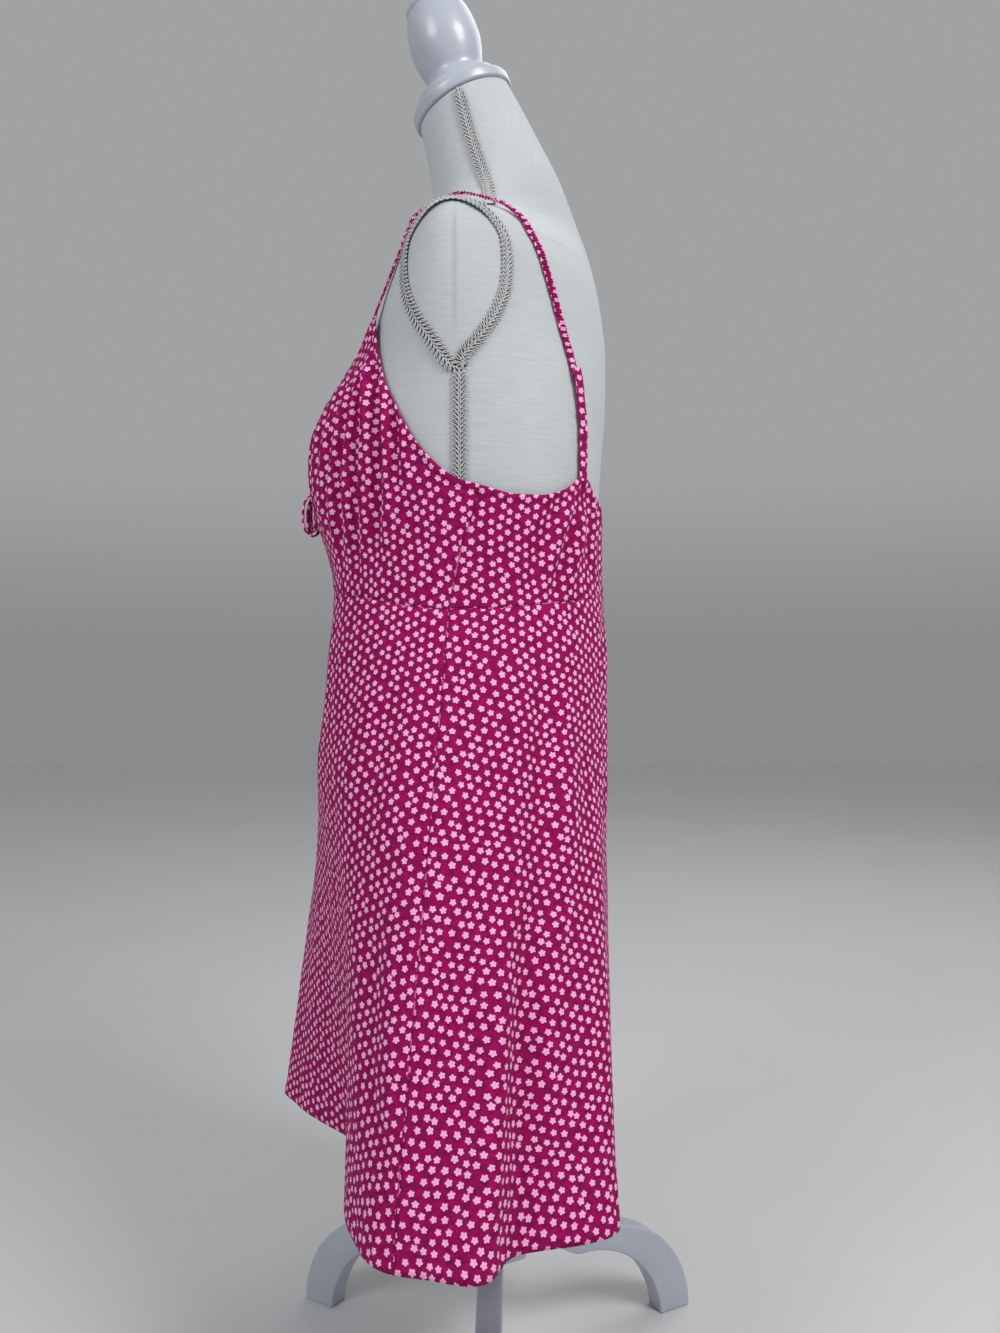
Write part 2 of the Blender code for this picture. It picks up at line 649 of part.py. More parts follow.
def panel(name, point_at, bearings, shares):
    """A wall of cloth through a grid of points, its thickness going inwards."""
    bm = bmesh.new()
    outer, inner = [], []
    for share in shares:
        points = [point_at(share, bearing) for bearing in bearings]
        outer.append([bm.verts.new(point) for point in points])
        inner.append([bm.verts.new(point - outward(point_at, share, bearing) * CLOTH)
                      for point, bearing in zip(points, bearings)])
    for grid in (outer, inner):
        for low, high in zip(grid, grid[1:]):
            for i in range(len(low) - 1):
                bm.faces.new((low[i], low[i + 1], high[i + 1], high[i]))
    across = len(bearings) - 1
    for row in (0, len(shares) - 1):
        for i in range(across):
            bm.faces.new((outer[row][i], outer[row][i + 1], inner[row][i + 1], inner[row][i]))
    for column in (0, across):
        for row in range(len(shares) - 1):
            bm.faces.new((outer[row][column], outer[row + 1][column],
                          inner[row + 1][column], inner[row][column]))
    bmesh.ops.recalc_face_normals(bm, faces=bm.faces)
    return finish(name, bm, "printed_cloth")


def panel_bearings(first, last, count):
    return [first + (last - first) * i / count for i in range(count + 1)]


def bodice_at(share, bearing):
    """Bodice points from the waist seam (0) to the top edge (1)."""
    seam, edge = EMPIRE_SEAM_AT(abs_bearing(bearing)), TOP_EDGE_AT(abs_bearing(bearing))
    return bodice_point(seam + (edge - seam) * share, bearing)


def swung_bodice_at(share, bearing):
    """The same with the side seams swung back as they rise, which fades out to front and back."""
    from_front = abs_bearing(bearing)
    away = from_front / SIDE_SEAM if from_front < SIDE_SEAM else (180 - from_front) / (180 - SIDE_SEAM)
    swing = SIDE_SEAM_SWING * share * math.sin(away * math.pi / 2) ** 4
    return bodice_at(share, bearing + math.copysign(swing, (bearing + 180) % 360 - 180))


def abs_bearing(bearing):
    """The bearing folded onto the wearer's left half."""
    return abs((bearing + 180) % 360 - 180)


def make_panels():
    front = panel_bearings(-SIDE_SEAM + SEAM_BEARING_GAP, SIDE_SEAM - SEAM_BEARING_GAP, 40)
    back = panel_bearings(SIDE_SEAM + SEAM_BEARING_GAP, 360 - SIDE_SEAM - SEAM_BEARING_GAP, 44)
    skirt_shares = [i / 10 for i in range(11)]
    panel("bodice_front", swung_bodice_at, front, [i / 8 for i in range(9)])
    panel("bodice_back", swung_bodice_at, back, [i / 4 for i in range(5)])
    panel("skirt_front", skirt_at, front, skirt_shares)
    panel("skirt_back", skirt_at, back, skirt_shares)


def skirt_at(share, bearing):
    return skirt_point(share, (bearing + 180) % 360 - 180)


def strap_stations(surface, rows, side, count):
    """Stations of a strap: its rows laid on the form at their lifts, with outward directions."""
    route = smooth_route([(side * row[0], row[1], row[2]) for row in rows], count)
    lengths = [0.0]
    for a, b in zip(rows, rows[1:]):
        lengths.append(lengths[-1] + (Vector(b[:3]) - Vector(a[:3])).length)
    lift_at = curve_through(lengths, [row[STRAP_COLUMNS.index("lift")] for row in rows])
    hits, outs = laid_on(surface, route, 0.0)
    lifts = [lift_at(lengths[-1] * i / (count - 1)) for i in range(count)]
    centres = [hit + out * high for hit, out, high in zip(hits, outs, lifts)]
    return centres, outs


def strap_seat(bearing, side):
    """Two stations straight up from the bodice's top edge, on the inner face, and the way outwards."""
    edge = bodice_at(1.0, side * bearing)
    up = (edge - bodice_at(0.9, side * bearing)).normalized()
    along = bodice_at(1.0, side * bearing + 1) - bodice_at(1.0, side * bearing - 1)
    out = along.cross(up).normalized()
    if out.dot(Vector((edge.x, edge.y, 0))) < 0:
        out = -out
    seat = edge + up * STRAP_END_GAP - out * CLOTH
    return [seat, seat + up * STRAP_LEAD], out


def make_straps(surface):
    for word, side in (("left", 1), ("right", -1)):
        seats, out = strap_seat(STRAP_BEARING, side)
        centres, outs = strap_stations(surface, STRAP, side, 34)
        band(f"strap_{word}", seats + centres, [out, out] + outs, STRAP_WIDTH, STRAP_THICK, "printed_cloth")
        seats, out = strap_seat(BACK_STRAP_BEARING, side)
        centres, outs = strap_stations(surface, BACK_STRAP, side, 9)
        band(f"back_strap_{word}", centres + seats[::-1], outs + [out, out], BACK_STRAP_WIDTH,
             BACK_STRAP_THICK, "printed_cloth")


def make_bow():
    surface = bodice_point(BOW_HEIGHT, 0)
    width, depth, height = KNOT_SIZE
    centre = surface + Vector((0, -depth / 2 - SEAM_GAP, 0))
    bm = bmesh.new()
    bmesh.ops.create_cube(bm, size=1.0, matrix=Matrix.Diagonal((width, depth, height, 1)))
    bmesh.ops.bevel(bm, geom=bm.edges[:], offset=0.0012, segments=2, profile=0.5, affect="EDGES", material=-1)
    bmesh.ops.translate(bm, verts=bm.verts, vec=centre)
    finish("bow_knot", bm, "printed_cloth")
    for word, side in (("left", 1), ("right", -1)):
        for piece, rows, count in (("loop", BOW_LOOP, 16), ("tail", BOW_TAIL, 5)):
            offsets = smooth_route([(side * x, y, z) for x, y, z in rows], count)
            middle = sum(offsets, Vector()) / count
            centres = [centre + offset for offset in offsets]
            if piece == "loop":
                outs = [(offset - middle).normalized() for offset in offsets]
            else:
                outs = [Vector((0, -1, 0))] * count
            band(f"bow_{piece}_{word}", centres, outs, BOW_WIDTH, BOW_THICK, "printed_cloth")


def make_dress(surface):
    make_panels()
    make_straps(surface)
    make_bow()


# ---------------------------------------------------------------- assembly

def centre_on_origin():
    """Moves the empty so that the origin lies on the floor under the middle of the box."""
    graph = bpy.context.evaluated_depsgraph_get()
    corners = []
    for obj in bpy.data.objects:
        if obj.type == "MESH" and not obj.hide_render:
            mesh = obj.evaluated_get(graph).to_mesh()
            points = np.empty(len(mesh.vertices) * 3, np.float32)
            mesh.vertices.foreach_get("co", points)
            points = points.reshape(-1, 3)
            corners += [points.min(axis=0), points.max(axis=0)]
    low, high = np.min(corners, axis=0), np.max(corners, axis=0)
    bpy.data.objects["pole_axis"].location = (-(low[0] + high[0]) / 2, -(low[1] + high[1]) / 2, 0)


def main():
    for obj in list(bpy.data.objects):
        bpy.data.objects.remove(obj)
    make_materials()
    axis = bpy.data.objects.new("pole_axis", None)
    bpy.context.collection.objects.link(axis)
    surface = surface_of(make_torso())
    make_form(surface)
    make_dress(surface)
    bpy.context.view_layer.update()
    centre_on_origin()


main()
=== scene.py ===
"""The looks of an a-line dress on its dress form: printed jersey, shirred straps, a small bow, a
covered torso with looped braid, and a painted turned neck block and tripod."""

import math

import bmesh
import bpy
import numpy as np
from mathutils import Matrix, Vector, noise
from mathutils.bvhtree import BVHTree


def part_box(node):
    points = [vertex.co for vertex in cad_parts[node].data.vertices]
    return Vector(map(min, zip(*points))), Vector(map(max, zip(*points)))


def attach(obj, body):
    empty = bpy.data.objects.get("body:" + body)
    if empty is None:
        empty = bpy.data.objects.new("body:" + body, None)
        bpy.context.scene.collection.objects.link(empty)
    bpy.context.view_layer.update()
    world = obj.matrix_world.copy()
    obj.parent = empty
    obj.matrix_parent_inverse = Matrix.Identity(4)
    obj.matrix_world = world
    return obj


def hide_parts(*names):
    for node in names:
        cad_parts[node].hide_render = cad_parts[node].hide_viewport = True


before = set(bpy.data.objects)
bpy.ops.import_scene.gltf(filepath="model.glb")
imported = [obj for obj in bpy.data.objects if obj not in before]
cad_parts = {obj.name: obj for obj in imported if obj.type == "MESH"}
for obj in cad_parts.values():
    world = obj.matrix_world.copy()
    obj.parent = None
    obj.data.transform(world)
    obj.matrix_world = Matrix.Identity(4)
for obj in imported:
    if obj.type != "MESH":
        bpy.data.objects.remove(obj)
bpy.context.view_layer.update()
pole_low, pole_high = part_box("pole")
POLE = Vector(((pole_low.x + pole_high.x) / 2, (pole_low.y + pole_high.y) / 2, 0))
"""Every table below is measured from the pole's axis; POLE carries it into the frame."""

# ---------------------------------------------------------------- sections of the form and the dress

SECTION_COLUMNS = ("height", "side_y", "front", "back", "half_width", "front_power", "back_power", "tilt")
TORSO = [
    (0.430, -0.020, -0.104, 0.070, 0.147, 2.2, 2.3, 0.0),
    (0.455, -0.020, -0.114, 0.080, 0.160, 2.2, 2.4, 0.0),
    (0.500, -0.020, -0.119, 0.086, 0.165, 2.2, 2.4, 0.0),
    (0.570, -0.021, -0.112, 0.084, 0.148, 2.2, 2.4, 0.0),
    (0.640, -0.022, -0.103, 0.081, 0.121, 2.2, 2.4, 0.0),
    (0.700, -0.022, -0.109, 0.088, 0.127, 2.2, 2.5, 0.0),
    (0.760, -0.022, -0.117, 0.092, 0.138, 2.2, 2.7, 0.0),
    (0.820, -0.024, -0.121, 0.0970, 0.144, 2.2, 2.45, 0.0),
    (0.870, -0.027, -0.119, 0.1012, 0.147, 2.05, 2.13, 0.0),
    (0.919, -0.028, -0.110, 0.1022, 0.152, 1.95, 1.66, 0.0),
    (0.950, -0.028, -0.0985, 0.0990, 0.153, 2.05, 1.51, 0.0),
    (0.973, -0.028, -0.0875, 0.0955, 0.153, 2.20, 1.42, 0.0),
    (0.997, -0.028, -0.079, 0.0900, 0.148, 2.10, 1.30, 0.0),
    (1.009, -0.028, -0.074, 0.0866, 0.130, 1.70, 1.28, 0.0),
    (1.019, -0.026, -0.069, 0.0828, 0.105, 1.40, 1.28, 1.0),
    (1.028, -0.022, -0.064, 0.0780, 0.085, 1.35, 1.35, 3.0),
    (1.038, -0.013, -0.060, 0.0728, 0.071, 1.55, 1.55, 7.0),
    (1.050, -0.003, -0.057, 0.0672, 0.0625, 1.80, 1.80, 11.0),
    (1.066, 0.002, -0.055, 0.0600, 0.056, 2.0, 2.0, 15.0),
    (1.090, -0.006, -0.058, 0.0475, 0.051, 2.0, 2.0, 18.0),
    (1.118, -0.015, -0.063, 0.0330, 0.047, 2.0, 2.0, 21.0),
    (1.1440, -0.0255, -0.070, 0.0190, 0.0445, 2.0, 2.0, 25.0),
]
"""Sections of the padded form from its underside to the neck."""
BUST_HEIGHT = 0.812
BUST_APART = 0.078
BUST_SPREAD = 0.048
FORM_BUST = dict(reach=0.0365, rise=0.064, drop=0.050, hollow=0.30)
CLOTH_BUST = dict(reach=0.0378, rise=0.070, drop=0.086, hollow=0.13)
BODICE = [
    (0.670, -0.022, -0.139, 0.1005, 0.1400, 2.3, 2.5, 0.0),
    (0.700, -0.022, -0.136, 0.0985, 0.1390, 2.3, 2.5, 0.0),
    (0.730, -0.022, -0.132, 0.0970, 0.1400, 2.2, 2.6, 0.0),
    (0.760, -0.022, -0.129, 0.0965, 0.1430, 2.2, 2.7, 0.0),
    (0.790, -0.0225, -0.128, 0.0980, 0.1460, 2.2, 2.6, 0.0),
    (0.820, -0.024, -0.1268, 0.1010, 0.1485, 2.2, 2.5, 0.0),
    (0.870, -0.027, -0.1235, 0.1055, 0.1515, 2.05, 2.2, 0.0),
    (0.930, -0.028, -0.1135, 0.1060, 0.1565, 1.98, 1.70, 0.0),
]
EDGE_COLUMNS = ("bearing", "height")
TOP_EDGE = [
    (0, 0.806), (6, 0.818), (14, 0.846), (22, 0.880), (29, 0.911), (33, 0.9235), (38.8, 0.9235),
    (42, 0.913), (47, 0.898), (53, 0.880), (60, 0.857), (67, 0.835), (73, 0.815), (79, 0.800),
    (86, 0.787), (95, 0.777), (104, 0.7720), (113, 0.7720), (122, 0.7755), (130, 0.7820), (136.5, 0.7900),
    (142.5, 0.7900), (147, 0.783), (154, 0.776), (166, 0.772), (180, 0.771),
]
EMPIRE_SEAM = [(0, 0.708), (45, 0.694), (86, 0.682), (130, 0.690), (180, 0.702)]
SIDE_SEAM = 86.0
SIDE_SEAM_SWING = 7.0
HEM_HEIGHT = 0.234
HEM_TREND = dict(side_y=-0.060, front=-0.184, back=0.103, half_width=0.272, front_power=1.75,
                 back_power=2.5)
HEM_FOLDS = [
    (-172, -0.050, 0.0985), (-162, -0.120, 0.0860), (-151, -0.192, 0.0935), (-143, -0.224, 0.0840),
    (-134, -0.240, 0.0580), (-124, -0.249, 0.0300), (-115, -0.262, 0.0135), (-108, -0.279, -0.0020),
    (-99, -0.280, -0.0230), (-92, -0.275, -0.0430), (-84, -0.2645, -0.0665), (-75, -0.245, -0.0860),
    (-63, -0.210, -0.1030), (-49, -0.166, -0.1030), (-36, -0.123, -0.1260), (-24, -0.082, -0.1740),
    (-12, -0.044, -0.1985), (-3, -0.008, -0.1800), (8, 0.026, -0.1550), (22, 0.064, -0.1215),
    (37, 0.122, -0.0960), (50, 0.172, -0.1085), (60, 0.200, -0.1060), (69, 0.230, -0.0950),
    (78, 0.257, -0.0820), (86, 0.2695, -0.0660), (94, 0.2765, -0.0390), (101, 0.2835, -0.0145),
    (106, 0.279, 0.0000), (111, 0.262, 0.0075), (117, 0.2485, 0.0145), (126, 0.240, 0.0360),
    (136, 0.233, 0.0630), (144, 0.221, 0.0860), (151, 0.200, 0.0935), (161, 0.125, 0.0870),
    (171, 0.058, 0.0990), (180, 0.005, 0.1085),
]
"""Where the hem runs, as (bearing, x, y); HEM_TREND is the plain curve that its folds stand off."""
FOLD_START = 0.30
FOLD_GROWTH = 1.15

# ---------------------------------------------------------------- curves through the tables

def curve_through(keys, values):
    """A smooth curve through a table's rows that doesn't overshoot between them."""
    keys = np.asarray(keys, float)
    values = np.asarray(values, float)
    steps = np.diff(keys)
    rises = np.diff(values) / steps
    slopes = np.zeros_like(values)
    slopes[0], slopes[-1] = rises[0], rises[-1]
    for i in range(1, len(keys) - 1):
        if rises[i - 1] * rises[i] > 0:
            slopes[i] = 2 * rises[i - 1] * rises[i] / (rises[i - 1] + rises[i])
    keys, values, steps, slopes = (list(map(float, row)) for row in (keys, values, steps, slopes))

    def at(key):
        key = min(max(key, keys[0]), keys[-1])
        i = 0
        while i < len(steps) - 1 and key > keys[i + 1]:
            i += 1
        t = (key - keys[i]) / steps[i]
        start = (1 + 2 * t) * (1 - t) ** 2 * values[i] + t * (1 - t) ** 2 * steps[i] * slopes[i]
        return start + t * t * (3 - 2 * t) * values[i + 1] + t * t * (t - 1) * steps[i] * slopes[i + 1]

    return at


def table_curves(rows, columns):
    """A curve for each column of a table, by name, over the first column."""
    return {name: curve_through([row[0] for row in rows], [row[i] for row in rows])
            for i, name in enumerate(columns)}


def running_lengths(points):
    """How far along a path each of its points lies."""
    runs = [0.0]
    for a, b in zip(points, points[1:]):
        runs.append(runs[-1] + (b - a).length)
    return runs


def power(value, exponent):
    """A power that keeps the value's sign."""
    return math.copysign(abs(value) ** exponent, value)


def hump(value, middle, width):
    """A soft hump, 1 at its middle."""
    return math.exp(-((value - middle) / width) ** 2)


def soft_step(start, end, value):
    """0 before start, 1 after end and smooth between them."""
    share = min(max((value - start) / (end - start), 0.0), 1.0)
    return share * share * (3 - 2 * share)


def bust_push(x, height, bust):
    """How far the bust stands forward of the plain section."""
    fade_over = bust["rise"] if height > BUST_HEIGHT else bust["drop"]
    fade = math.exp(-abs((height - BUST_HEIGHT) / fade_over) ** 2.6)
    beyond = abs(x) - BUST_APART
    if beyond > 0:
        return bust["reach"] * fade * hump(beyond, 0.0, BUST_SPREAD)
    return bust["reach"] * fade * (1 - bust["hollow"] * math.cos(math.pi / 2 * x / BUST_APART) ** 2)


def section_point(row, bust, height, bearing):
    """A point of one section; the bearing is in degrees from the front, towards the wearer's left."""
    turn = math.radians(bearing)
    facing_front = math.cos(turn) > 0
    exponent = 2 / (row["front_power"] if facing_front else row["back_power"])
    x = row["half_width"] * power(math.sin(turn), exponent)
    reach = row["side_y"] - row["front"] if facing_front else row["back"] - row["side_y"]
    depth = -reach * power(math.cos(turn), exponent)
    if facing_front and bust:
        depth -= bust_push(x, height, bust) * abs(math.cos(turn)) ** 0.6
    lean = math.radians(row.get("tilt", 0.0))
    return Vector((x, row["side_y"] + depth * math.cos(lean), height + depth * math.sin(lean)))


TORSO_AT = table_curves(TORSO, SECTION_COLUMNS)
BODICE_AT = table_curves(BODICE, SECTION_COLUMNS)
TOP_EDGE_AT = table_curves(TOP_EDGE, EDGE_COLUMNS)["height"]
EMPIRE_SEAM_AT = table_curves(EMPIRE_SEAM, EDGE_COLUMNS)["height"]


def folded(bearing):
    """The bearing folded onto the wearer's left half."""
    return abs((bearing + 180) % 360 - 180)


def body_point(curves, bust, height, bearing):
    return section_point({name: at(height) for name, at in curves.items()}, bust, height, bearing)


def bodice_point(height, bearing):
    return body_point(BODICE_AT, CLOTH_BUST, height, bearing)


def ring_curve(rows):
    """A smooth closed curve through rows of (bearing, x, y)."""
    before_first = [(row[0] - 360, *row[1:]) for row in rows[-2:]]
    after_last = [(row[0] + 360, *row[1:]) for row in rows[:2]]
    rows = before_first + rows + after_last

    def at(bearing):
        bearing = (bearing + 180) % 360 - 180
        i = max(k for k in range(1, len(rows) - 2) if rows[k][0] <= bearing)
        span = rows[i + 1][0] - rows[i][0]
        t = (bearing - rows[i][0]) / span
        found = []
        for axis in (1, 2):
            before, start, end, after = (rows[i + k][axis] for k in (-1, 0, 1, 2))
            start_slope = (end - before) / (rows[i + 1][0] - rows[i - 1][0]) * span
            end_slope = (after - start) / (rows[i + 2][0] - rows[i][0]) * span
            found.append((2 * t ** 3 - 3 * t ** 2 + 1) * start + (t ** 3 - 2 * t ** 2 + t) * start_slope
                         + (3 * t ** 2 - 2 * t ** 3) * end + (t ** 3 - t ** 2) * end_slope)
        return found

    return at


HEM_AT = ring_curve(HEM_FOLDS)


def skirt_point(share, bearing):
    """A point of the skirt's outside; share runs from 0 at the waist seam to 1 at the hem."""
    top = bodice_point(EMPIRE_SEAM_AT(folded(bearing)), bearing)
    trend = section_point(HEM_TREND, None, HEM_HEIGHT, bearing)
    hem_x, hem_y = HEM_AT(bearing)
    grown = max(share - FOLD_START, 0.0) / (1 - FOLD_START)
    fold = Vector((hem_x, hem_y, HEM_HEIGHT)) - trend
    return top.lerp(trend, share) + fold * grown ** FOLD_GROWTH


# ---------------------------------------------------------------- finishes

class Finish:
    """A material and short ways to add and link its nodes."""

    def __init__(self, name, **values):
        self.material = bpy.data.materials.new(name)
        self.material.use_nodes = True
        self.tree = self.material.node_tree
        self.shader = self.tree.nodes["Principled BSDF"]
        for socket, value in values.items():
            self.shader.inputs[socket.replace("_", " ").title().replace("Ior", "IOR")].default_value = value

    def node(self, kind, inputs=(), **settings):
        """Adds a node; inputs are pairs of a socket's name or place and what feeds it."""
        made = self.tree.nodes.new("ShaderNode" + kind)
        for key, value in settings.items():
            setattr(made, key, value)
        for place, value in inputs:
            self.feed(made.inputs[place], value)
        return made

    def feed(self, socket, value):
        if isinstance(value, bpy.types.NodeSocket):
            self.tree.links.new(value, socket)
        else:
            socket.default_value = value

    def place(self):
        return self.node("TexCoord").outputs["Object"]

    def cut(self):
        """The place on the flat cut, in metres."""
        return self.node("UVMap", uv_map="Cut").outputs[0]

    def math(self, operation, *values):
        return self.node("Math", enumerate(values), operation=operation).outputs[0]

    def vector_math(self, operation, *values):
        return self.node("VectorMath", enumerate(values), operation=operation).outputs[0]

    def apart(self, vector):
        return self.node("SeparateXYZ", [(0, vector)]).outputs

    def mix(self, share, low, high):
        inputs = [("Factor", share), ("A", low), ("B", high)]
        return self.node("Mix", inputs, data_type="RGBA").outputs["Result"]

    def steps(self, value, start, end):
        """0 before start, 1 after end and smooth between them."""
        inputs = enumerate((value, start, end))
        return self.node("MapRange", inputs, interpolation_type="SMOOTHSTEP").outputs[0]

    def noise(self, vector, scale, detail):
        return self.node("TexNoise", [("Vector", vector), ("Scale", scale), ("Detail", detail)]).outputs

    def grain(self, vector, scale, detail=2.0):
        return self.noise(vector, scale, detail)["Fac"]

    def wavering(self, vector, scale, reach):
        """The coordinates, pushed about softly so that rows of a pattern waver."""
        waves = self.noise(vector, scale, 0.0)["Color"]
        return self.vector_math("MULTIPLY_ADD", waves, (reach, reach, 0.0), vector)

    def slanted(self, vector, first, second):
        """Flat coordinates on two other axes, each given by its shares of the old ones."""
        shares = [self.node("VectorMath", [(0, vector), (1, (*axis, 0.0))], operation="DOT_PRODUCT")
                  for axis in (first, second)]
        return self.node("CombineXYZ", enumerate(share.outputs["Value"] for share in shares)).outputs[0]

    def ribs(self, vector, scale, direction):
        return self.node("TexWave", [("Vector", vector), ("Scale", scale)], wave_type="BANDS",
                         bands_direction=direction).outputs["Fac"]

    def bump(self, height, strength, distance):
        made = self.node("Bump", [("Height", height), ("Strength", strength), ("Distance", distance)])
        self.feed(self.shader.inputs["Normal"], made.outputs[0])

    def colour(self, value):
        self.feed(self.shader.inputs["Base Color"], value)


def srgb(red, green, blue):
    """A colour given as it looks, 0 to 255, as the linear values that a material takes."""
    return (*(((c / 255 + 0.055) / 1.055) ** 2.4 if c > 10 else c / 3294 for c in (red, green, blue)), 1.0)


FLOWER_SPACING = 0.0085
FLOWER_RADIUS = 0.00260
FLOWER_ROWS_APART = FLOWER_SPACING * math.sqrt(0.75)
FLOWER_SCATTER = 0.36
ROW_TURN = 0.48
ROW_WAVER = (16.0, 0.0070)
KNIT_RIBS = 420.0
GROUND_LIGHT, GROUND_DARK = srgb(166, 0, 92), srgb(124, 0, 68)
GROUND_VIOLET, GROUND_SHADE = srgb(122, 6, 104), srgb(58, 0, 42)
PETAL_LIGHT, PETAL_PINK = srgb(252, 178, 222), srgb(240, 130, 190)


def printed_jersey(name, ground=(GROUND_DARK, GROUND_LIGHT), petals=(PETAL_PINK, PETAL_LIGHT)):
    """Small five-petalled flowers scattered on magenta jersey, in the cut's own coordinates."""
    cloth = Finish(name, roughness=0.86, sheen_weight=0.06, sheen_roughness=0.38,
                   sheen_tint=srgb(255, 150, 210), specular_ior_level=0.18)
    cut = cloth.cut()
    turned = cloth.node("VectorRotate", [("Vector", cloth.wavering(cut, *ROW_WAVER)), ("Angle", ROW_TURN)],
                        rotation_type="Z_AXIS").outputs[0]
    on_rows = cloth.slanted(turned, (1 / FLOWER_SPACING, -0.5 / FLOWER_ROWS_APART),
                            (0.0, 1 / FLOWER_ROWS_APART))
    cells = cloth.node("TexVoronoi", [("Vector", on_rows), ("Scale", 1.0), ("Randomness", FLOWER_SCATTER)],
                       voronoi_dimensions="2D", feature="F1")
    middle = cloth.slanted(cells.outputs["Position"], (FLOWER_SPACING, 0.5 * FLOWER_SPACING),
                           (0.0, FLOWER_ROWS_APART))
    offset = cloth.vector_math("SUBTRACT", turned, middle)
    x, y = cloth.apart(offset)[:2]
    chance = cloth.node("SeparateColor", [(0, cells.outputs["Color"])]).outputs
    # each flower: five lobes about its middle, turned and sized a little by chance
    tilt = cloth.math("MULTIPLY_ADD", chance[0], 0.8, ROW_TURN - 0.4)
    bearing = cloth.math("ADD", cloth.math("ARCTAN2", x, y), tilt)
    lobes = cloth.math("ABSOLUTE", cloth.math("COSINE", cloth.math("MULTIPLY", bearing, 2.5)))
    lobed = cloth.math("POWER", lobes, 0.8)
    radius = cloth.math("MULTIPLY_ADD", lobed, 0.44 * FLOWER_RADIUS, 0.56 * FLOWER_RADIUS)
    sized = cloth.math("MULTIPLY", radius, cloth.math("MULTIPLY_ADD", chance[1], 0.14, 0.93))
    away = cloth.node("VectorMath", [(0, offset)], operation="LENGTH").outputs["Value"]
    share = cloth.math("DIVIDE", away, sized)
    flower = cloth.steps(share, 1.04, 0.94)
    heart = cloth.steps(share, 0.46, 0.0)
    # the ground: two magentas and patches of violet
    mottle = cloth.grain(cut, 620.0, 3.0)
    wide = cloth.grain(cut, 170.0, 1.0)
    violet = cloth.steps(cloth.grain(cut, 260.0, 2.0), 0.52, 0.68)
    mottled = cloth.math("MULTIPLY_ADD", wide, 0.5, cloth.math("MULTIPLY", mottle, 0.5))
    base = cloth.mix(cloth.steps(mottled, 0.36, 0.62), *ground)
    base = cloth.mix(cloth.math("MULTIPLY", violet, 0.55), base, GROUND_VIOLET)
    # a dark accent round each flower, strongest on one side
    sideways = cloth.math("DIVIDE", cloth.math("SUBTRACT", x, y), away)
    one_side = cloth.math("MULTIPLY_ADD", cloth.steps(sideways, 0.3, 1.1), 0.6, 0.12)
    base = cloth.mix(cloth.math("MULTIPLY", cloth.steps(share, 1.75, 1.1), one_side), base, GROUND_SHADE)
    inside = cloth.mix(cloth.math("MULTIPLY", heart, 0.5), petals[1], petals[0])
    inside = cloth.mix(cloth.math("MULTIPLY", cloth.steps(mottle, 0.5, 0.75), 0.5), inside, petals[0])
    cloth.colour(cloth.mix(flower, base, inside))
    knit = cloth.math("MULTIPLY_ADD", cloth.ribs(cut, KNIT_RIBS, "X"), 0.3,
                      cloth.math("MULTIPLY", mottle, 0.7))
    cloth.bump(knit, 0.35, 0.0003)
    return cloth.material


PLATE_SEAM_SHADE_Y = -0.0271
PLATE_SEAM_SHADE_HALF_WIDTH = 0.0034
COVER_RIBS = 300.0


def form_jersey():
    """The form's off-white knitted cover, with faint streaks along its courses and a stripe of painted
    shade down the seam in the middle of each armhole plate."""
    cover = Finish("form_cover", roughness=0.92, sheen_weight=0.10, sheen_roughness=0.5,
                   specular_ior_level=0.2)
    cut = cover.cut()
    weave = cover.math("ADD", cover.ribs(cut, COVER_RIBS, "Y"), cover.ribs(cut, COVER_RIBS, "X"))
    weave = cover.math("MULTIPLY", weave, 0.5)
    drawn_out = cover.node("Mapping", [("Vector", cut), ("Scale", (0.10, 1.0, 1.0))]).outputs[0]
    slubs = cover.grain(drawn_out, 420.0, 3.0)
    cloud = cover.grain(cut, 9.0, 2.0)
    shade = cover.math("ADD", cover.math("MULTIPLY", weave, 0.40), cover.math("MULTIPLY", slubs, 0.60))
    base = cover.mix(cover.steps(shade, 0.25, 0.75), srgb(182, 187, 190), srgb(199, 204, 207))
    clouded = cover.mix(cover.steps(cloud, 0.35, 0.65), base, cover.mix(0.35, base, srgb(176, 181, 186)))
    # painted shade: a soft darker stripe along the seam down the middle of each armhole plate stands in for
    # the shadow where the cover creases there
    _, y, z = cover.apart(cover.place())
    from_seam = cover.math("ABSOLUTE", cover.math("SUBTRACT", y, PLATE_SEAM_SHADE_Y))
    on_plate = cover.math("MULTIPLY", cover.steps(z, 0.886, 0.915), cover.steps(z, 0.998, 0.980))
    seam = cover.math("MULTIPLY", cover.steps(from_seam, PLATE_SEAM_SHADE_HALF_WIDTH, 0.0), on_plate)
    cover.colour(cover.mix(cover.math("MULTIPLY", seam, 0.36), clouded, srgb(148, 153, 160)))
    cover.bump(shade, 0.35, 0.0003)
    return cover.material


def looped_cord(name, dark, light):
    """Fine twisted thread."""
    cord = Finish(name, roughness=0.55, sheen_weight=0.15, specular_ior_level=0.4)
    fibre = cord.grain(cord.place(), 1400.0, 3.0)
    cord.colour(cord.mix(fibre, dark, light))
    cord.bump(fibre, 0.5, 0.0002)
    return cord.material


def seam_finish():
    """Where two panels meet, the print is cut through, so petals show as short dashes."""
    seam = Finish("cut_print", roughness=0.86, specular_ior_level=0.18)
    petals = seam.steps(seam.grain(seam.cut(), 190.0, 1.0), 0.50, 0.58)
    seam.colour(seam.mix(seam.math("MULTIPLY", petals, 0.55), GROUND_DARK, PETAL_PINK))
    return seam.material


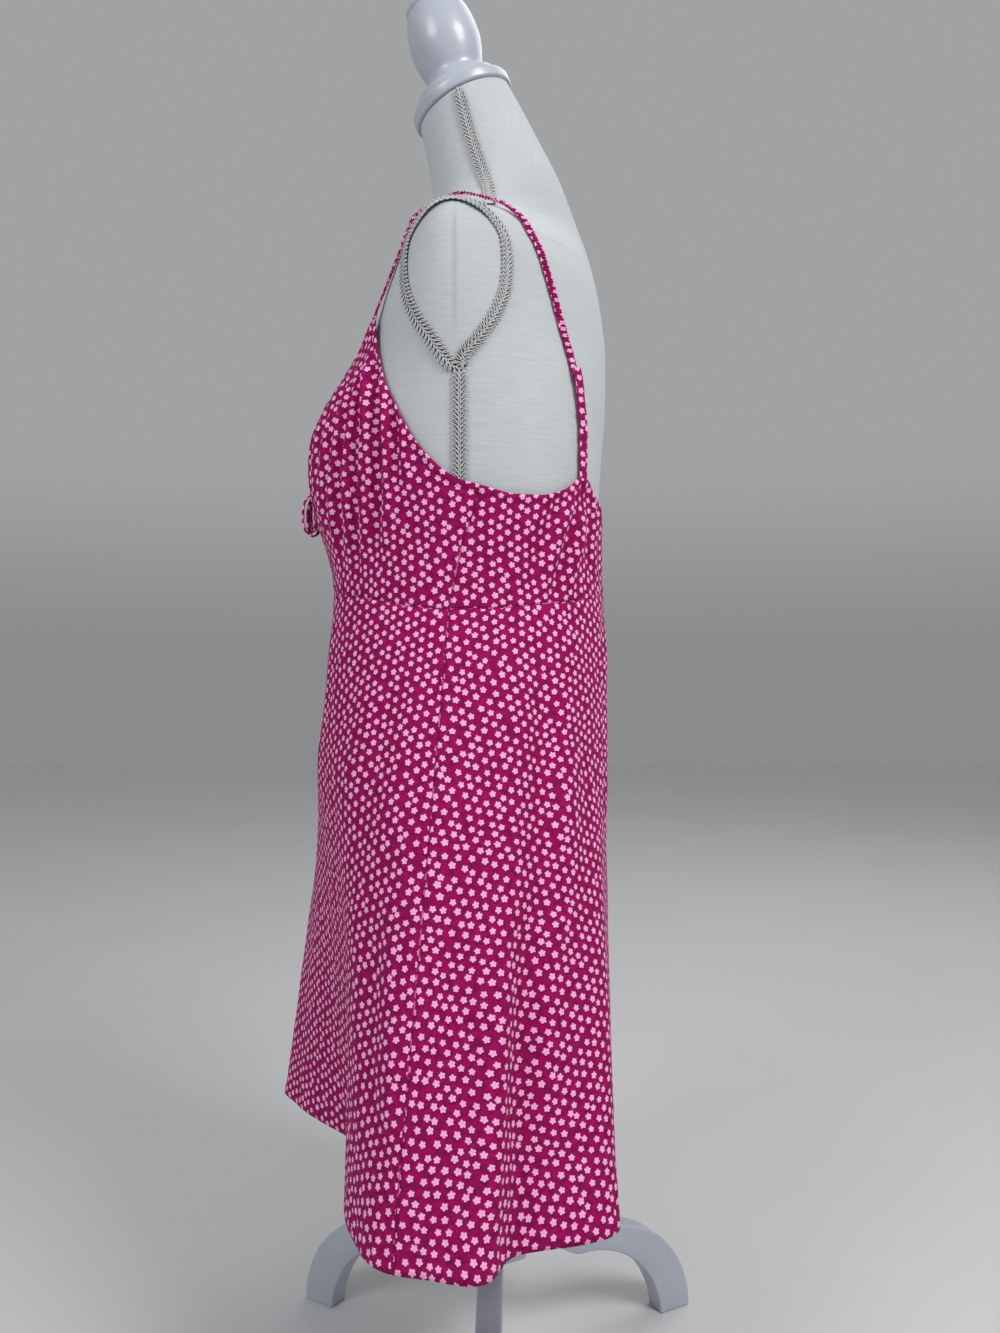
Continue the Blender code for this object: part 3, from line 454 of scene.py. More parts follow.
def gloss_paint(name, low, high):
    """Brushed-on gloss over wood: nearly even, with faint grain and dust in the finish."""
    paint = Finish(name, roughness=0.34, specular_ior_level=0.45, coat_weight=0.30, coat_roughness=0.18)
    place = paint.place()
    cloud = paint.grain(place, 22.0, 3.0)
    speck = paint.grain(place, 420.0, 2.0)
    paint.colour(paint.mix(cloud, low, high))
    paint.bump(paint.math("ADD", paint.math("MULTIPLY", speck, 0.3), cloud), 0.12, 0.0004)
    return paint.material


PRINT = printed_jersey("printed_jersey")
PRINT_BACK = printed_jersey("jersey_wrong_side", ground=(srgb(140, 30, 90), srgb(160, 42, 104)),
                            petals=(srgb(190, 96, 148), srgb(205, 120, 165)))
COVER = form_jersey()
CORD = looped_cord("silver_cord", srgb(118, 118, 120), srgb(240, 240, 241))
# painted shade: the ground under the loops is coloured near black, darker than any of the cord, so that the
# gaps between the loops read as shadow
CORD_BASE_PAINTED_SHADE = looped_cord("braid_ground_painted_shade", srgb(20, 20, 22), srgb(44, 44, 46))
PAINT = gloss_paint("white_gloss", srgb(164, 170, 182), srgb(184, 189, 200))
SEAM = seam_finish()

# ---------------------------------------------------------------- making pieces

def into_scene(name, data):
    """An object made from its data and linked to the scene."""
    made = bpy.data.objects.new(name, data)
    bpy.context.scene.collection.objects.link(made)
    return made


def finish(name, bm, materials, replaces):
    """Turns a bmesh into a smooth piece that rides on the frame, with its place in its mesh."""
    mesh = bpy.data.meshes.new(name)
    bmesh.ops.translate(bm, verts=bm.verts, vec=POLE)
    bm.to_mesh(mesh)
    bm.free()
    for material in materials:
        mesh.materials.append(material)
    piece = into_scene(name, mesh)
    mesh.shade_smooth()
    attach(piece, "root")
    if replaces:
        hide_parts(replaces)
    return piece


def new_mesh():
    bm = bmesh.new()
    bm.loops.layers.uv.new("Cut")
    return bm


def lay_cut(bm, faces, uv_of):
    """Gives each corner of the faces its place on the cut, which uv_of(vert) says in metres."""
    uv = bm.loops.layers.uv["Cut"]
    for face in faces:
        for loop in face.loops:
            loop[uv].uv = uv_of(loop.vert)


def cloth_grid(columns, rows):
    """A flat grid of cloth, its corners at 0 and 1, with a UV map."""
    bm = new_mesh()
    bmesh.ops.create_grid(bm, x_segments=columns, y_segments=rows, size=0.5)
    bmesh.ops.translate(bm, verts=bm.verts, vec=(0.5, 0.5, 0))
    return bm


def place_grid(bm, place, uv_of):
    """Moves each point of a grid to place(across, down), faces turned away from the pole, and gives
    it the cut's coordinates in metres. It returns where each point was on the grid."""
    flat = {vert: (vert.co.x, vert.co.y) for vert in bm.verts}
    lay_cut(bm, bm.faces, lambda vert: uv_of(*flat[vert]))
    for vert, (across, down) in flat.items():
        vert.co = place(across, down)
    bm.normal_update()
    bm.faces.ensure_lookup_table()
    if sum(face.normal.dot(Vector((*face.calc_center_median().xy, 0))) for face in bm.faces) < 0:
        bmesh.ops.reverse_faces(bm, faces=bm.faces)
        bm.normal_update()
    return flat


def flat_cut(point_at, columns, rows):
    """The flat cut of a curved panel: a map from (across, down) to metres, the size and the area.
    The panel is unwrapped with the least stretch, laid out at full size and turned upright."""
    bm = cloth_grid(columns, rows)
    flat = {vert.index: (round(vert.co.x * columns), round(vert.co.y * rows)) for vert in bm.verts}
    for vert in bm.verts:
        vert.co = point_at(vert.co.x, vert.co.y)
    real_area = sum(face.calc_area() for face in bm.faces)
    mesh = bpy.data.meshes.new("pattern")
    bm.to_mesh(mesh)
    bm.free()
    pattern = into_scene("pattern", mesh)
    bpy.context.view_layer.objects.active = pattern
    bpy.ops.object.mode_set(mode="EDIT")
    bpy.ops.mesh.select_all(action="SELECT")
    bpy.ops.uv.unwrap(method="MINIMUM_STRETCH", margin=0.0, correct_aspect=False)
    bpy.ops.object.mode_set(mode="OBJECT")
    laid = np.zeros((columns + 1, rows + 1, 2))
    for loop in mesh.loops:
        laid[flat[loop.vertex_index]] = mesh.uv_layers["Cut"].data[loop.index].uv
    bpy.data.objects.remove(pattern)
    bpy.data.meshes.remove(mesh)
    middle = laid[columns // 2, 0] - laid[columns // 2, rows]
    turn = math.pi / 2 - math.atan2(middle[1], middle[0])
    laid = laid @ np.array([[math.cos(turn), math.sin(turn)], [-math.sin(turn), math.cos(turn)]])
    if laid[-1, 0, 0] < laid[0, 0, 0]:
        laid[..., 0] *= -1
    ring = np.concatenate([laid[:, 0], laid[-1], laid[::-1, -1], laid[0, ::-1]])
    after = np.roll(ring, -1, axis=0)
    area = abs(float((ring[:, 0] * after[:, 1] - ring[:, 1] * after[:, 0]).sum())) / 2
    laid = (laid - laid[columns // 2, rows // 2]) * math.sqrt(real_area / area)

    def uv_of(across, down):
        i, j = min(int(across * columns), columns - 1), min(int(down * rows), rows - 1)
        a, b = across * columns - i, down * rows - j
        near = (laid[i, j] * (1 - a) + laid[i + 1, j] * a) * (1 - b)
        return [float(axis) for axis in near + (laid[i, j + 1] * (1 - a) + laid[i + 1, j + 1] * a) * b]

    return uv_of, [float(side) for side in np.ptp(laid.reshape(-1, 2), axis=0)], real_area


# ---------------------------------------------------------------- the cloth's relief

LEFT_CREASES = [
    ([(-0.112, 0.906), (-0.130, 0.839), (-0.139, 0.790), (-0.140, 0.715)], 0.0034, 0.0022),
    ([(-0.108, 0.910), (-0.119, 0.845), (-0.127, 0.790), (-0.124, 0.705)], 0.0032, 0.0036),
    ([(-0.104, 0.912), (-0.109, 0.845), (-0.112, 0.790), (-0.109, 0.696)], 0.0030, 0.0044),
    ([(-0.100, 0.905), (-0.094, 0.872), (-0.092, 0.832), (-0.091, 0.800), (-0.094, 0.712)], 0.0042, 0.0052),
    ([(-0.096, 0.893), (-0.083, 0.862), (-0.077, 0.830), (-0.075, 0.765)], 0.0036, 0.0036),
    ([(-0.086, 0.880), (-0.062, 0.830), (-0.056, 0.780)], 0.0050, 0.0012),
    ([(0.078, 0.790), (0.066, 0.750), (0.055, 0.712), (0.047, 0.680)], 0.0050, 0.0040),
    ([(0.072, 0.786), (0.050, 0.760), (0.036, 0.722), (0.030, 0.686)], 0.0060, 0.0022),
    ([(0.080, 0.784), (0.078, 0.745), (0.073, 0.700)], 0.0050, 0.0020),
    ([(0.033, 0.690), (0.034, 0.678)], 0.0060, 0.0020),
    ([(0.043, 0.686), (0.043, 0.611), (0.042, 0.565), (0.036, 0.464), (0.028, 0.430), (0.024, 0.376),
      (0.013, 0.250)], 0.0110, 0.0040),
    ([(0.020, 0.640), (0.010, 0.560), (-0.002, 0.470)], 0.0120, -0.0020),
    ([(0.008, 0.430), (0.004, 0.340), (0.003, 0.250)], 0.0120, -0.0028),
    ([(-0.088, 0.470), (-0.086, 0.329), (-0.076, 0.299), (-0.068, 0.272)], 0.0080, 0.0026),
    ([(-0.071, 0.640), (-0.090, 0.560), (-0.105, 0.480)], 0.0100, 0.0018),
    ([(0.066, 0.650), (0.072, 0.560), (0.074, 0.470)], 0.0090, 0.0018),
    ([(-0.030, 0.560), (-0.034, 0.450), (-0.044, 0.350)], 0.0140, 0.0012),
]
"""Soft troughs in the cloth over the wearer's left side, each a path of (y, height) with a width
and a depth; a depth below zero is a ridge."""

RIGHT_CREASES = [([(y * 0.96 + 0.004, height - 0.006) for y, height in path], width * 1.1, depth * 0.9)
                 for path, width, depth in LEFT_CREASES]

FRONT_CREASES = [
    ([(0.096, 0.905), (0.088, 0.850), (0.083, 0.800), (0.080, 0.735)], 0.0040, 0.0014),
    ([(0.092, 0.903), (0.074, 0.850), (0.062, 0.800), (0.056, 0.735)], 0.0042, 0.0016),
    ([(0.088, 0.898), (0.060, 0.845), (0.040, 0.795), (0.030, 0.730)], 0.0042, 0.0012),
    ([(0.012, 0.790), (0.013, 0.750), (0.012, 0.712)], 0.0040, 0.0012),
    ([(-0.006, 0.788), (-0.008, 0.745), (-0.007, 0.712)], 0.0040, 0.0012),
    ([(-0.097, 0.905), (-0.087, 0.850), (-0.081, 0.800), (-0.079, 0.735)], 0.0040, 0.0013),
    ([(-0.091, 0.903), (-0.072, 0.850), (-0.061, 0.800), (-0.057, 0.735)], 0.0044, 0.0015),
    ([(-0.087, 0.898), (-0.058, 0.845), (-0.042, 0.795), (-0.031, 0.730)], 0.0040, 0.0012),
    ([(0.040, 0.690), (0.046, 0.610), (0.060, 0.500)], 0.0110, 0.0026),
    ([(-0.044, 0.688), (-0.050, 0.600), (-0.058, 0.490)], 0.0120, 0.0024),
    ([(0.006, 0.700), (0.002, 0.620), (-0.004, 0.530)], 0.0120, -0.0022),
]
"""The same over the front, as paths of (x, height)."""

BACK_CREASES = [
    ([(0.100, 0.788), (0.092, 0.745), (0.086, 0.700)], 0.0050, 0.0020),
    ([(0.084, 0.786), (0.066, 0.745), (0.058, 0.704)], 0.0055, 0.0014),
    ([(0.020, 0.776), (0.018, 0.740), (0.022, 0.706)], 0.0060, 0.0012),
    ([(-0.098, 0.788), (-0.093, 0.745), (-0.085, 0.700)], 0.0050, 0.0020),
    ([(-0.082, 0.786), (-0.068, 0.745), (-0.059, 0.704)], 0.0055, 0.0014),
    ([(-0.024, 0.776), (-0.022, 0.740), (-0.020, 0.706)], 0.0060, 0.0012),
    ([(0.052, 0.694), (0.062, 0.600), (0.078, 0.470)], 0.0110, 0.0030),
    ([(-0.050, 0.694), (-0.064, 0.600), (-0.075, 0.470)], 0.0120, 0.0030),
    ([(0.004, 0.696), (0.000, 0.600), (0.006, 0.480)], 0.0130, 0.0022),
]


RIDGE_SHARE = 0.6
RIDGE_AWAY = 1.9
RIDGE_WIDTH = 0.9
CREASE_REACH = 4
CREASE_FURTHEST = 0.06
CREASE_ENDS = (0.22, 0.30)
DEEPEST_ON_FORM = 0.0036
FORM_TOUCHES_ABOVE = 0.66
FACING = (0.30, 0.55)


def crease_depth(place, creases):
    """How far the creases sink the cloth at a place of (sideways, height)."""
    sink = 0.0
    for path, width, depth in creases:
        low, high = min(p[1] for p in path) - 2 * width, max(p[1] for p in path) + 2 * width
        if not low < place[1] < high or min(abs(p[0] - place[0]) for p in path) > CREASE_FURTHEST:
            continue
        total = sum(math.dist(a, b) for a, b in zip(path, path[1:]))
        run, nearest = 0.0, (9.0, 0.0)
        for a, b in zip(path, path[1:]):
            length = math.dist(a, b)
            along = ((place[0] - a[0]) * (b[0] - a[0]) + (place[1] - a[1]) * (b[1] - a[1])) / length ** 2
            along = min(max(along, 0.0), 1.0)
            away = math.dist(place, (a[0] + along * (b[0] - a[0]), a[1] + along * (b[1] - a[1])))
            nearest = min(nearest, (away, (run + along * length) / total))
            run += length
        away, share = nearest
        if away < CREASE_REACH * width:
            hollow = hump(away / width, 0, 1) - RIDGE_SHARE * hump(away / width, RIDGE_AWAY, RIDGE_WIDTH)
            sink += (depth * hollow * soft_step(0, CREASE_ENDS[0], share)
                     * soft_step(0, CREASE_ENDS[1], 1 - share))
    return sink


def sunk_by_creases(point, normal):
    """Each point is on the side, the front or the back by the way that the cloth faces there."""
    sink = 0.0
    for facing, creases, place in (
            (normal.x, LEFT_CREASES, (point.y, point.z)), (-normal.x, RIGHT_CREASES, (point.y, point.z)),
            (-normal.y, FRONT_CREASES, (point.x, point.z)), (normal.y, BACK_CREASES, (point.x, point.z))):
        if facing > FACING[0]:
            sink += soft_step(*FACING, facing) * crease_depth(place, creases)
    return sink if point.z < FORM_TOUCHES_ABOVE else min(sink, DEEPEST_ON_FORM)


EDGE_ROLL = (0.0028, 0.0026)
STITCH_GROOVE = (0.0068, 0.0012)
PUCKERS_LIE = (0.0080, 0.0065)
PUCKER_WAVE = (0.0085, 2, 0.031)
SEAM_DIP = (0, 0.0016)
SEAM_SHOULDER = (0.0040, 0.0020)
"""All but the wave are the distance from an edge or seam and the width, in metres, for hump()."""


def uneven(run, pitch, strength, drift):
    """A wave along an edge whose spacing wanders."""
    return math.sin(run / pitch * math.tau + strength * math.sin(run / drift))


def rolled_edge(away, run):
    """A narrow turned and stitched edge: a soft roll, a groove at the stitches and small puckers."""
    roll = 0.0006 * hump(away, *EDGE_ROLL)
    groove = -0.0011 * hump(away, *STITCH_GROOVE)
    pucker = 0.0008 * uneven(run, *PUCKER_WAVE)
    return roll + groove + pucker * hump(away, *PUCKERS_LIE)


def seam_valley(away):
    return -0.0002 * hump(away, *SEAM_DIP) + 0.0003 * hump(away, *SEAM_SHOULDER)


def slack(point, height, size, seed):
    """Soft unevenness of hanging cloth, stretched downwards."""
    return height * noise.noise(Vector((point.x / size + seed, point.y / size, point.z / size / 2.6)))


# ---------------------------------------------------------------- the cloth panels

CLOTH = 0.0009
BODICE_SLACK = (0.0006, 0.020, 1.3)
SKIRT_SAG = (0.0012, 0.045, 3.1)
SKIRT_RIPPLE = (0.0005, 0.012, 7.7)
"""Height, size and seed of the cloth's unevenness."""
SEWN_FLAT = 0.006
HEM_TURN = 0.55
HEM_FULLNESS = 3.1
HEM_SOFTNESS = 0.7
GATHERS_HIGH = 0.0004
GATHER_WAVE = (0.013, 3, 0.05)
GATHERS_FADE = 0.02
PANEL_SURFACES = []


def gathered_cut(bm, flat, columns, rows):
    """The cut of a gathered panel takes in the cloth that its creases use."""
    def key(across, down):
        return round(across * columns), round(down * rows)

    creased = {key(*place): vert.co.copy() for vert, place in flat.items()}
    uv_of, size, area = flat_cut(lambda *place: creased[key(*place)], columns, rows)
    lay_cut(bm, bm.faces, lambda vert: uv_of(*flat[vert]))
    return size, area


def cloth_panel(node, point_at, columns, rows, top_is_edge):
    """One panel of the dress between its side seams, point_at(across, down) being its outside."""
    uv_of, size, area = flat_cut(point_at, columns // 2, rows // 2)
    bm = cloth_grid(columns, rows)
    flat = place_grid(bm, point_at, uv_of)
    top = [point_at(i / columns, 0) for i in range(columns + 1)]
    foot = [point_at(i / columns, 1) for i in range(columns + 1)]
    runs = running_lengths(top)
    moves = {}
    for vert, (across, down) in flat.items():
        point, i = vert.co, min(int(across * columns + 0.5), columns)
        near = slice(max(i - 4, 0), i + 5)
        from_top = min((point - other).length for other in top[near])
        from_foot = min((point - other).length for other in foot[near])
        from_side = min(math.dist(uv_of(across, down), uv_of(edge, down)) for edge in (0, 1))
        rise = seam_valley(from_side)
        if top_is_edge:
            rise += rolled_edge(from_top, runs[i])
            rise += seam_valley(from_foot) + slack(point, *BODICE_SLACK)
            gather = math.exp(-from_foot / GATHERS_FADE) * uneven(runs[i], *GATHER_WAVE)
            rise += GATHERS_HIGH * gather
        else:
            rise += seam_valley(from_top)
            rise += rolled_edge(from_foot * HEM_TURN, runs[i] * HEM_FULLNESS) * HEM_SOFTNESS
            rise += slack(point, SKIRT_SAG[0] * down, *SKIRT_SAG[1:]) + slack(point, *SKIRT_RIPPLE)
        keep = soft_step(0, SEWN_FLAT, from_top) * soft_step(0, SEWN_FLAT, from_foot)
        moves[vert] = vert.normal * (rise - sunk_by_creases(point, vert.normal) * keep)
    for vert, move in moves.items():
        vert.co += move
    if top_is_edge:
        size, area = gathered_cut(bm, flat, columns, rows)
    PANEL_SURFACES.append(BVHTree.FromBMesh(bm))
    panel = finish(node + "_cloth", bm, [PRINT, PRINT_BACK], node)
    wall = panel.modifiers.new("cloth", "SOLIDIFY")
    wall.thickness = CLOTH
    wall.offset = -1
    wall.material_offset = 1


def swung(bearing, down):
    """The side seams swing back as they rise from the waist seam, which fades out to front and back."""
    from_front = folded(bearing)
    away = from_front / SIDE_SEAM if from_front < SIDE_SEAM else (180 - from_front) / (180 - SIDE_SEAM)
    swing = SIDE_SEAM_SWING * (1 - down) * math.sin(away * math.pi / 2) ** 4
    return bearing + math.copysign(swing, (bearing + 180) % 360 - 180)


def bodice_at(first, last, swinging=True):
    """A bodice panel between two bearings: down runs from its top edge to the waist seam."""
    def point_at(across, down):
        bearing = first + (last - first) * across
        if swinging:
            bearing = swung(bearing, down)
        edge, seam = TOP_EDGE_AT(folded(bearing)), EMPIRE_SEAM_AT(folded(bearing))
        return bodice_point(edge + (seam - edge) * down, bearing)
    return point_at


def skirt_at(first, last):
    return lambda across, down: skirt_point(down, first + (last - first) * across)


cloth_panel("bodice_front", bodice_at(-SIDE_SEAM, SIDE_SEAM), 190, 64, True)
cloth_panel("bodice_back", bodice_at(SIDE_SEAM, 360 - SIDE_SEAM), 170, 40, True)
cloth_panel("skirt_front", skirt_at(-SIDE_SEAM, SIDE_SEAM), 180, 96, False)
cloth_panel("skirt_back", skirt_at(SIDE_SEAM, 360 - SIDE_SEAM), 200, 96, False)

# ---------------------------------------------------------------- tubes and bands

CUT_ROUND = 3.6
CUT_SHIFT = 3
"""A tube's cut goes round it by this many times its half sizes added up, and the print starts at
another place on each tube."""


def path_curves(keys, points):
    """A smooth curve for each axis of a path."""
    return [curve_through(keys, [point[axis] for point in points]) for axis in range(3)]


def smooth_route(points, count):
    """A smooth path through a few points, as count evenly shared stations."""
    points = [Vector(point) for point in points]
    lengths = running_lengths(points)
    curves = path_curves(lengths, points)
    return [Vector([at(lengths[-1] * i / (count - 1)) for at in curves]) for i in range(count)]


def tube(bm, centres, outs, half_sizes, around, squareness=2.6, material=0, gathered=1.0):
    """A closed tube of cloth or cord in bm: half_sizes gives each station's half width and half
    thickness, outs the way that its thickness is measured."""
    runs = running_lengths(centres)
    last = len(centres) - 1
    frames = []
    for i in range(last + 1):
        along = (centres[min(i + 1, last)] - centres[max(i - 1, 0)]).normalized()
        across = along.cross(outs[i]).normalized()
        frames.append((across, across.cross(along).normalized()))
    made = bmesh.ops.create_grid(bm, x_segments=around, y_segments=last, size=0.5)["verts"]
    flat = {vert: (vert.co.x + 0.5, round((vert.co.y + 0.5) * last)) for vert in made}
    faces = list({face for vert in made for face in vert.link_faces})
    girth = sum(half_sizes[last // 2])

    def on_cut(vert):
        share, i = flat[vert]
        return share * CUT_ROUND * girth + centres[0].y * CUT_SHIFT, runs[i] * gathered

    lay_cut(bm, faces, on_cut)
    for vert, (share, i) in flat.items():
        turn = share * math.tau
        across, up = frames[i]
        wide, thick = half_sizes[i]
        vert.co = (centres[i] + across * wide * power(math.cos(turn), 2 / squareness)
                   + up * thick * power(math.sin(turn), 2 / squareness))
    bmesh.ops.remove_doubles(bm, verts=made, dist=1e-6)
    open_edges = {edge for face in faces if face.is_valid for edge in face.edges if edge.is_boundary}
    capped = bmesh.ops.holes_fill(bm, edges=list(open_edges), sides=0)["faces"]
    closed = [face for face in faces if face.is_valid] + capped
    for face in closed:
        face.material_index = material
    bmesh.ops.recalc_face_normals(bm, faces=closed)


# ---------------------------------------------------------------- seams

SEAM_HALF_SIZES = (0.0006, 0.0003)


def seam_line(name, points):
    """The raised edge of a seam, laid halfway between the panels that meet there."""
    route, outs = [], []
    for point in points:
        hits = sorted((tree.find_nearest(point) for tree in PANEL_SURFACES), key=lambda hit: hit[3])[:2]
        route.append((hits[0][0] + hits[1][0]) / 2)
        outs.append((hits[0][1] + hits[1][1]).normalized())
    bm = new_mesh()
    tube(bm, route, outs, [SEAM_HALF_SIZES] * len(route), 8)
    finish(name, bm, [SEAM], None)


seam_line("waist_seam",
          [bodice_point(EMPIRE_SEAM_AT(folded(bearing)), bearing) for bearing in range(-180, 181)])
for word, side in (("left", 1), ("right", -1)):
    bodice_seam, skirt_seam = bodice_at(0, side * SIDE_SEAM), skirt_at(0, side * SIDE_SEAM)
    seam_line(f"side_seam_{word}", [bodice_seam(1, 0.03 + 0.95 * i / 50) for i in range(51)]
              + [skirt_seam(1, 0.01 + 0.98 * i / 200) for i in range(201)])

# ---------------------------------------------------------------- the form's torso

TORSO_SIDES = 120
TORSO_BANDS = ((0.430, 0.455, 6), (0.455, 0.740, 30), (0.740, 0.985, 50), (0.985, 1.055, 40),
               (1.055, 1.144, 24))
TORSO_ROWS = sum(count for _, _, count in TORSO_BANDS)
TORSO_GIRTH = 0.86
COVER_SLACK = (0.00035, 0.060, 11.0)
COVER_RIPPLE = (0.00012, 0.018, 4.0)
PLATE_GROOVE = (-0.0275, 0.0016)
PLATE_GROOVE_DEPTH = 0.0005
PLATE_LOW, PLATE_HIGH = 0.74, 1.002


def torso_relief(point, normal):
    """Slack in the knitted cover, and the seam that runs up inside each armhole."""
    rise = slack(point, *COVER_SLACK) + slack(point, *COVER_RIPPLE)
    if abs(normal.x) > 0.6 and PLATE_LOW < point.z < PLATE_HIGH:
        rise -= PLATE_GROOVE_DEPTH * hump(point.y, *PLATE_GROOVE)
    return rise


def make_torso():
    """The torso from its underside to the neck; it returns its surface, for what lies on it."""
    heights = [TORSO[0][0]]
    for low, high, count in TORSO_BANDS:
        heights += [low + (high - low) * (i + 1) / count for i in range(count)]
    bearings = [360 * i / TORSO_SIDES for i in range(TORSO_SIDES + 1)]
    rings = [[body_point(TORSO_AT, FORM_BUST, height, bearing) for bearing in bearings] for height in heights]
    runs = [[0.0] * (TORSO_SIDES + 1)]
    for below, above in zip(rings, rings[1:]):
        runs.append([run + (b - a).length for run, a, b in zip(runs[-1], below, above)])
    bm = new_mesh()
    bmesh.ops.create_grid(bm, x_segments=TORSO_SIDES, y_segments=TORSO_ROWS, size=0.5)
    flat = {vert: (round((vert.co.x + 0.5) * TORSO_SIDES), round((vert.co.y + 0.5) * TORSO_ROWS))
            for vert in bm.verts}

    def on_cut(vert):
        i, j = flat[vert]
        return TORSO_GIRTH * i / TORSO_SIDES, runs[j][i]

    lay_cut(bm, bm.faces, on_cut)
    for vert, (i, j) in flat.items():
        vert.co = rings[j][i]
    bmesh.ops.remove_doubles(bm, verts=bm.verts, dist=1e-6)
    bmesh.ops.holes_fill(bm, edges=[edge for edge in bm.edges if edge.is_boundary], sides=0)
    bmesh.ops.recalc_face_normals(bm, faces=bm.faces)
    bm.normal_update()
    ends = {vert for face in bm.faces if len(face.verts) > 4 for vert in face.verts}
    moves = {vert: vert.normal * torso_relief(vert.co, vert.normal) for vert in bm.verts if vert not in ends}
    for vert, move in moves.items():
        vert.co += move
    surface = BVHTree.FromBMesh(bm)
    torso = finish("torso_cover", bm, [COVER], "torso")
    torso.data.set_sharp_from_angle(angle=math.radians(50))
    return surface


FORM_SURFACE = make_torso()


def laid_on_form(route, lifts):
    """The route's points dropped to the form and lifted off it, with outward directions."""
    hits = [FORM_SURFACE.find_nearest(point) for point in route]
    outs = [hit[1] for hit in hits]
    for _ in range(8):
        outs = [(outs[max(i - 1, 0)] + outs[i] * 2 + outs[min(i + 1, len(outs) - 1)]).normalized()
                for i in range(len(outs))]
    return [hit[0] + out * lift for hit, out, lift in zip(hits, outs, lifts)], outs


# ---------------------------------------------------------------- the looped braid

ARMHOLE = [
    (1.0012, 0.0000), (0.9982, 0.0180), (0.9914, 0.0282), (0.9776, 0.0377), (0.9560, 0.0407),
    (0.9350, 0.0392), (0.9130, 0.0318), (0.8930, 0.0191), (0.8745, 0.0061),
]
ARMHOLE_Y = -0.0287
SIDE_BRAID_ENDS = (0.8665, 0.768)
SIDE_BRAID_Y = -0.0252
SHOULDER_SEAM = [
    (0.0425, -0.0290, 1.1370), (0.0490, -0.0215, 1.1050), (0.0560, -0.0110, 1.0700),
    (0.0680, -0.0030, 1.0430), (0.0880, -0.0015, 1.0260), (0.1120, -0.0055, 1.0150),
    (0.1300, -0.0105, 1.0060),
]
BRAID_WIDTH = 0.0120
BRAID_STATIONS_APART = 0.004
BRAID_UNDER_CAP = (0.0418, -0.0298, 1.1398)
GROUND_LIFT = 0.0011
GROUND_HALF_SIZES = (BRAID_WIDTH * 0.40, 0.0005)
LOOP_PITCH = 0.0038
LOOP_STEPS = 9
LOOP_MIDDLE, LOOP_REACH, LOOP_DRIFT = 0.250, 0.225, 0.012
LOOP_SLANT = 0.55
LOOP_LIFT, LOOP_WAVE, LOOP_DROP = 0.0018, 0.0005, 0.0007
OTHER_ROW_AHEAD = 0.9
CORD_RADIUS = 0.00062
ENDS_JOIN_AT = 0.8680
ENDS_APART = 0.0027


def tucked(share, length):
    """Narrower at both ends, where the braid is turned under."""
    return 0.35 + 0.65 * soft_step(0, 0.006, min(share, 1 - share) * length)


def braid(name, node, route):
    """A flat ground with two mirrored rows of looped cord along it."""
    length = running_lengths(route)[-1]
    count = max(round(length / BRAID_STATIONS_APART), 6)
    stations = smooth_route(route, count + 1)
    centres, outs = laid_on_form(stations, [0.0] * len(stations))
    wide, thick = GROUND_HALF_SIZES
    bm = new_mesh()
    tube(bm, [centre + out * GROUND_LIFT for centre, out in zip(centres, outs)], outs,
         [(wide * tucked(i / count, length), thick) for i in range(count + 1)], 8, material=1)
    loops = round(length / LOOP_PITCH)
    spread = [i / count for i in range(count + 1)]
    middles, lifts = path_curves(spread, centres), path_curves(spread, outs)
    for side in (-1, 1):
        points, ups = [], []
        for i in range(loops * LOOP_STEPS + 1):
            step = i / (loops * LOOP_STEPS)
            turn = step * loops * math.tau + (0.0 if side > 0 else OTHER_ROW_AHEAD)
            away = LOOP_MIDDLE + LOOP_REACH * math.cos(turn) + LOOP_DRIFT * math.sin(turn * 0.37 + side)
            away = BRAID_WIDTH * away * tucked(step, length)
            along = -0.50 * LOOP_PITCH * math.sin(turn) - LOOP_SLANT * (away - BRAID_WIDTH * LOOP_MIDDLE)
            share = min(max(step + along / length, 0.0), 1.0)
            before, after = max(share - 0.01, 0.0), min(share + 0.01, 1.0)
            up = Vector([at(share) for at in lifts]).normalized()
            ahead = Vector([at(after) - at(before) for at in middles]).normalized()
            lift = LOOP_LIFT + LOOP_WAVE * math.sin(turn + 0.6) - LOOP_DROP * (away / BRAID_WIDTH) ** 2
            points.append(Vector([at(share) for at in middles]) + ahead.cross(up) * side * away + up * lift)
            ups.append(up)
        tube(bm, points, ups, [(CORD_RADIUS, CORD_RADIUS)] * len(points), 5, squareness=2.0)
    # the ground's near-black finish is painted shade for the gaps between the loops
    finish(name, bm, [CORD, CORD_BASE_PAINTED_SHADE], node)


def beside(side, y, height):
    """The form's surface straight in from one side."""
    return FORM_SURFACE.ray_cast(Vector((side * 0.20, y, height)), Vector((-side, 0, 0)))[0]


up_front = [row[0] for row in reversed(ARMHOLE)]
armhole_half_width = curve_through(up_front, [row[1] for row in reversed(ARMHOLE)])
round_plate = [(-1, height) for height in up_front] + [(1, row[0]) for row in ARMHOLE[1:]]
armhole_ring = ([(SIDE_BRAID_Y - ENDS_APART, ENDS_JOIN_AT)]
                + [(ARMHOLE_Y + way * armhole_half_width(height), height) for way, height in round_plate]
                + [(SIDE_BRAID_Y + ENDS_APART, ENDS_JOIN_AT)])
side_heights = np.linspace(SIDE_BRAID_ENDS[0] + 0.002, SIDE_BRAID_ENDS[1], 16)
for word, side in (("left", 1), ("right", -1)):
    braid(f"armhole_gimp_{word}", f"armhole_braid_{word}",
          smooth_route([beside(side, *place) for place in armhole_ring], 90))
    braid(f"side_gimp_{word}", f"side_braid_{word}",
          [beside(side, SIDE_BRAID_Y, height) for height in side_heights])
    braid(f"shoulder_gimp_{word}", f"shoulder_braid_{word}",
          smooth_route([(side * x, y, z) for x, y, z in [BRAID_UNDER_CAP] + SHOULDER_SEAM], 42))

# ---------------------------------------------------------------- straps and bow

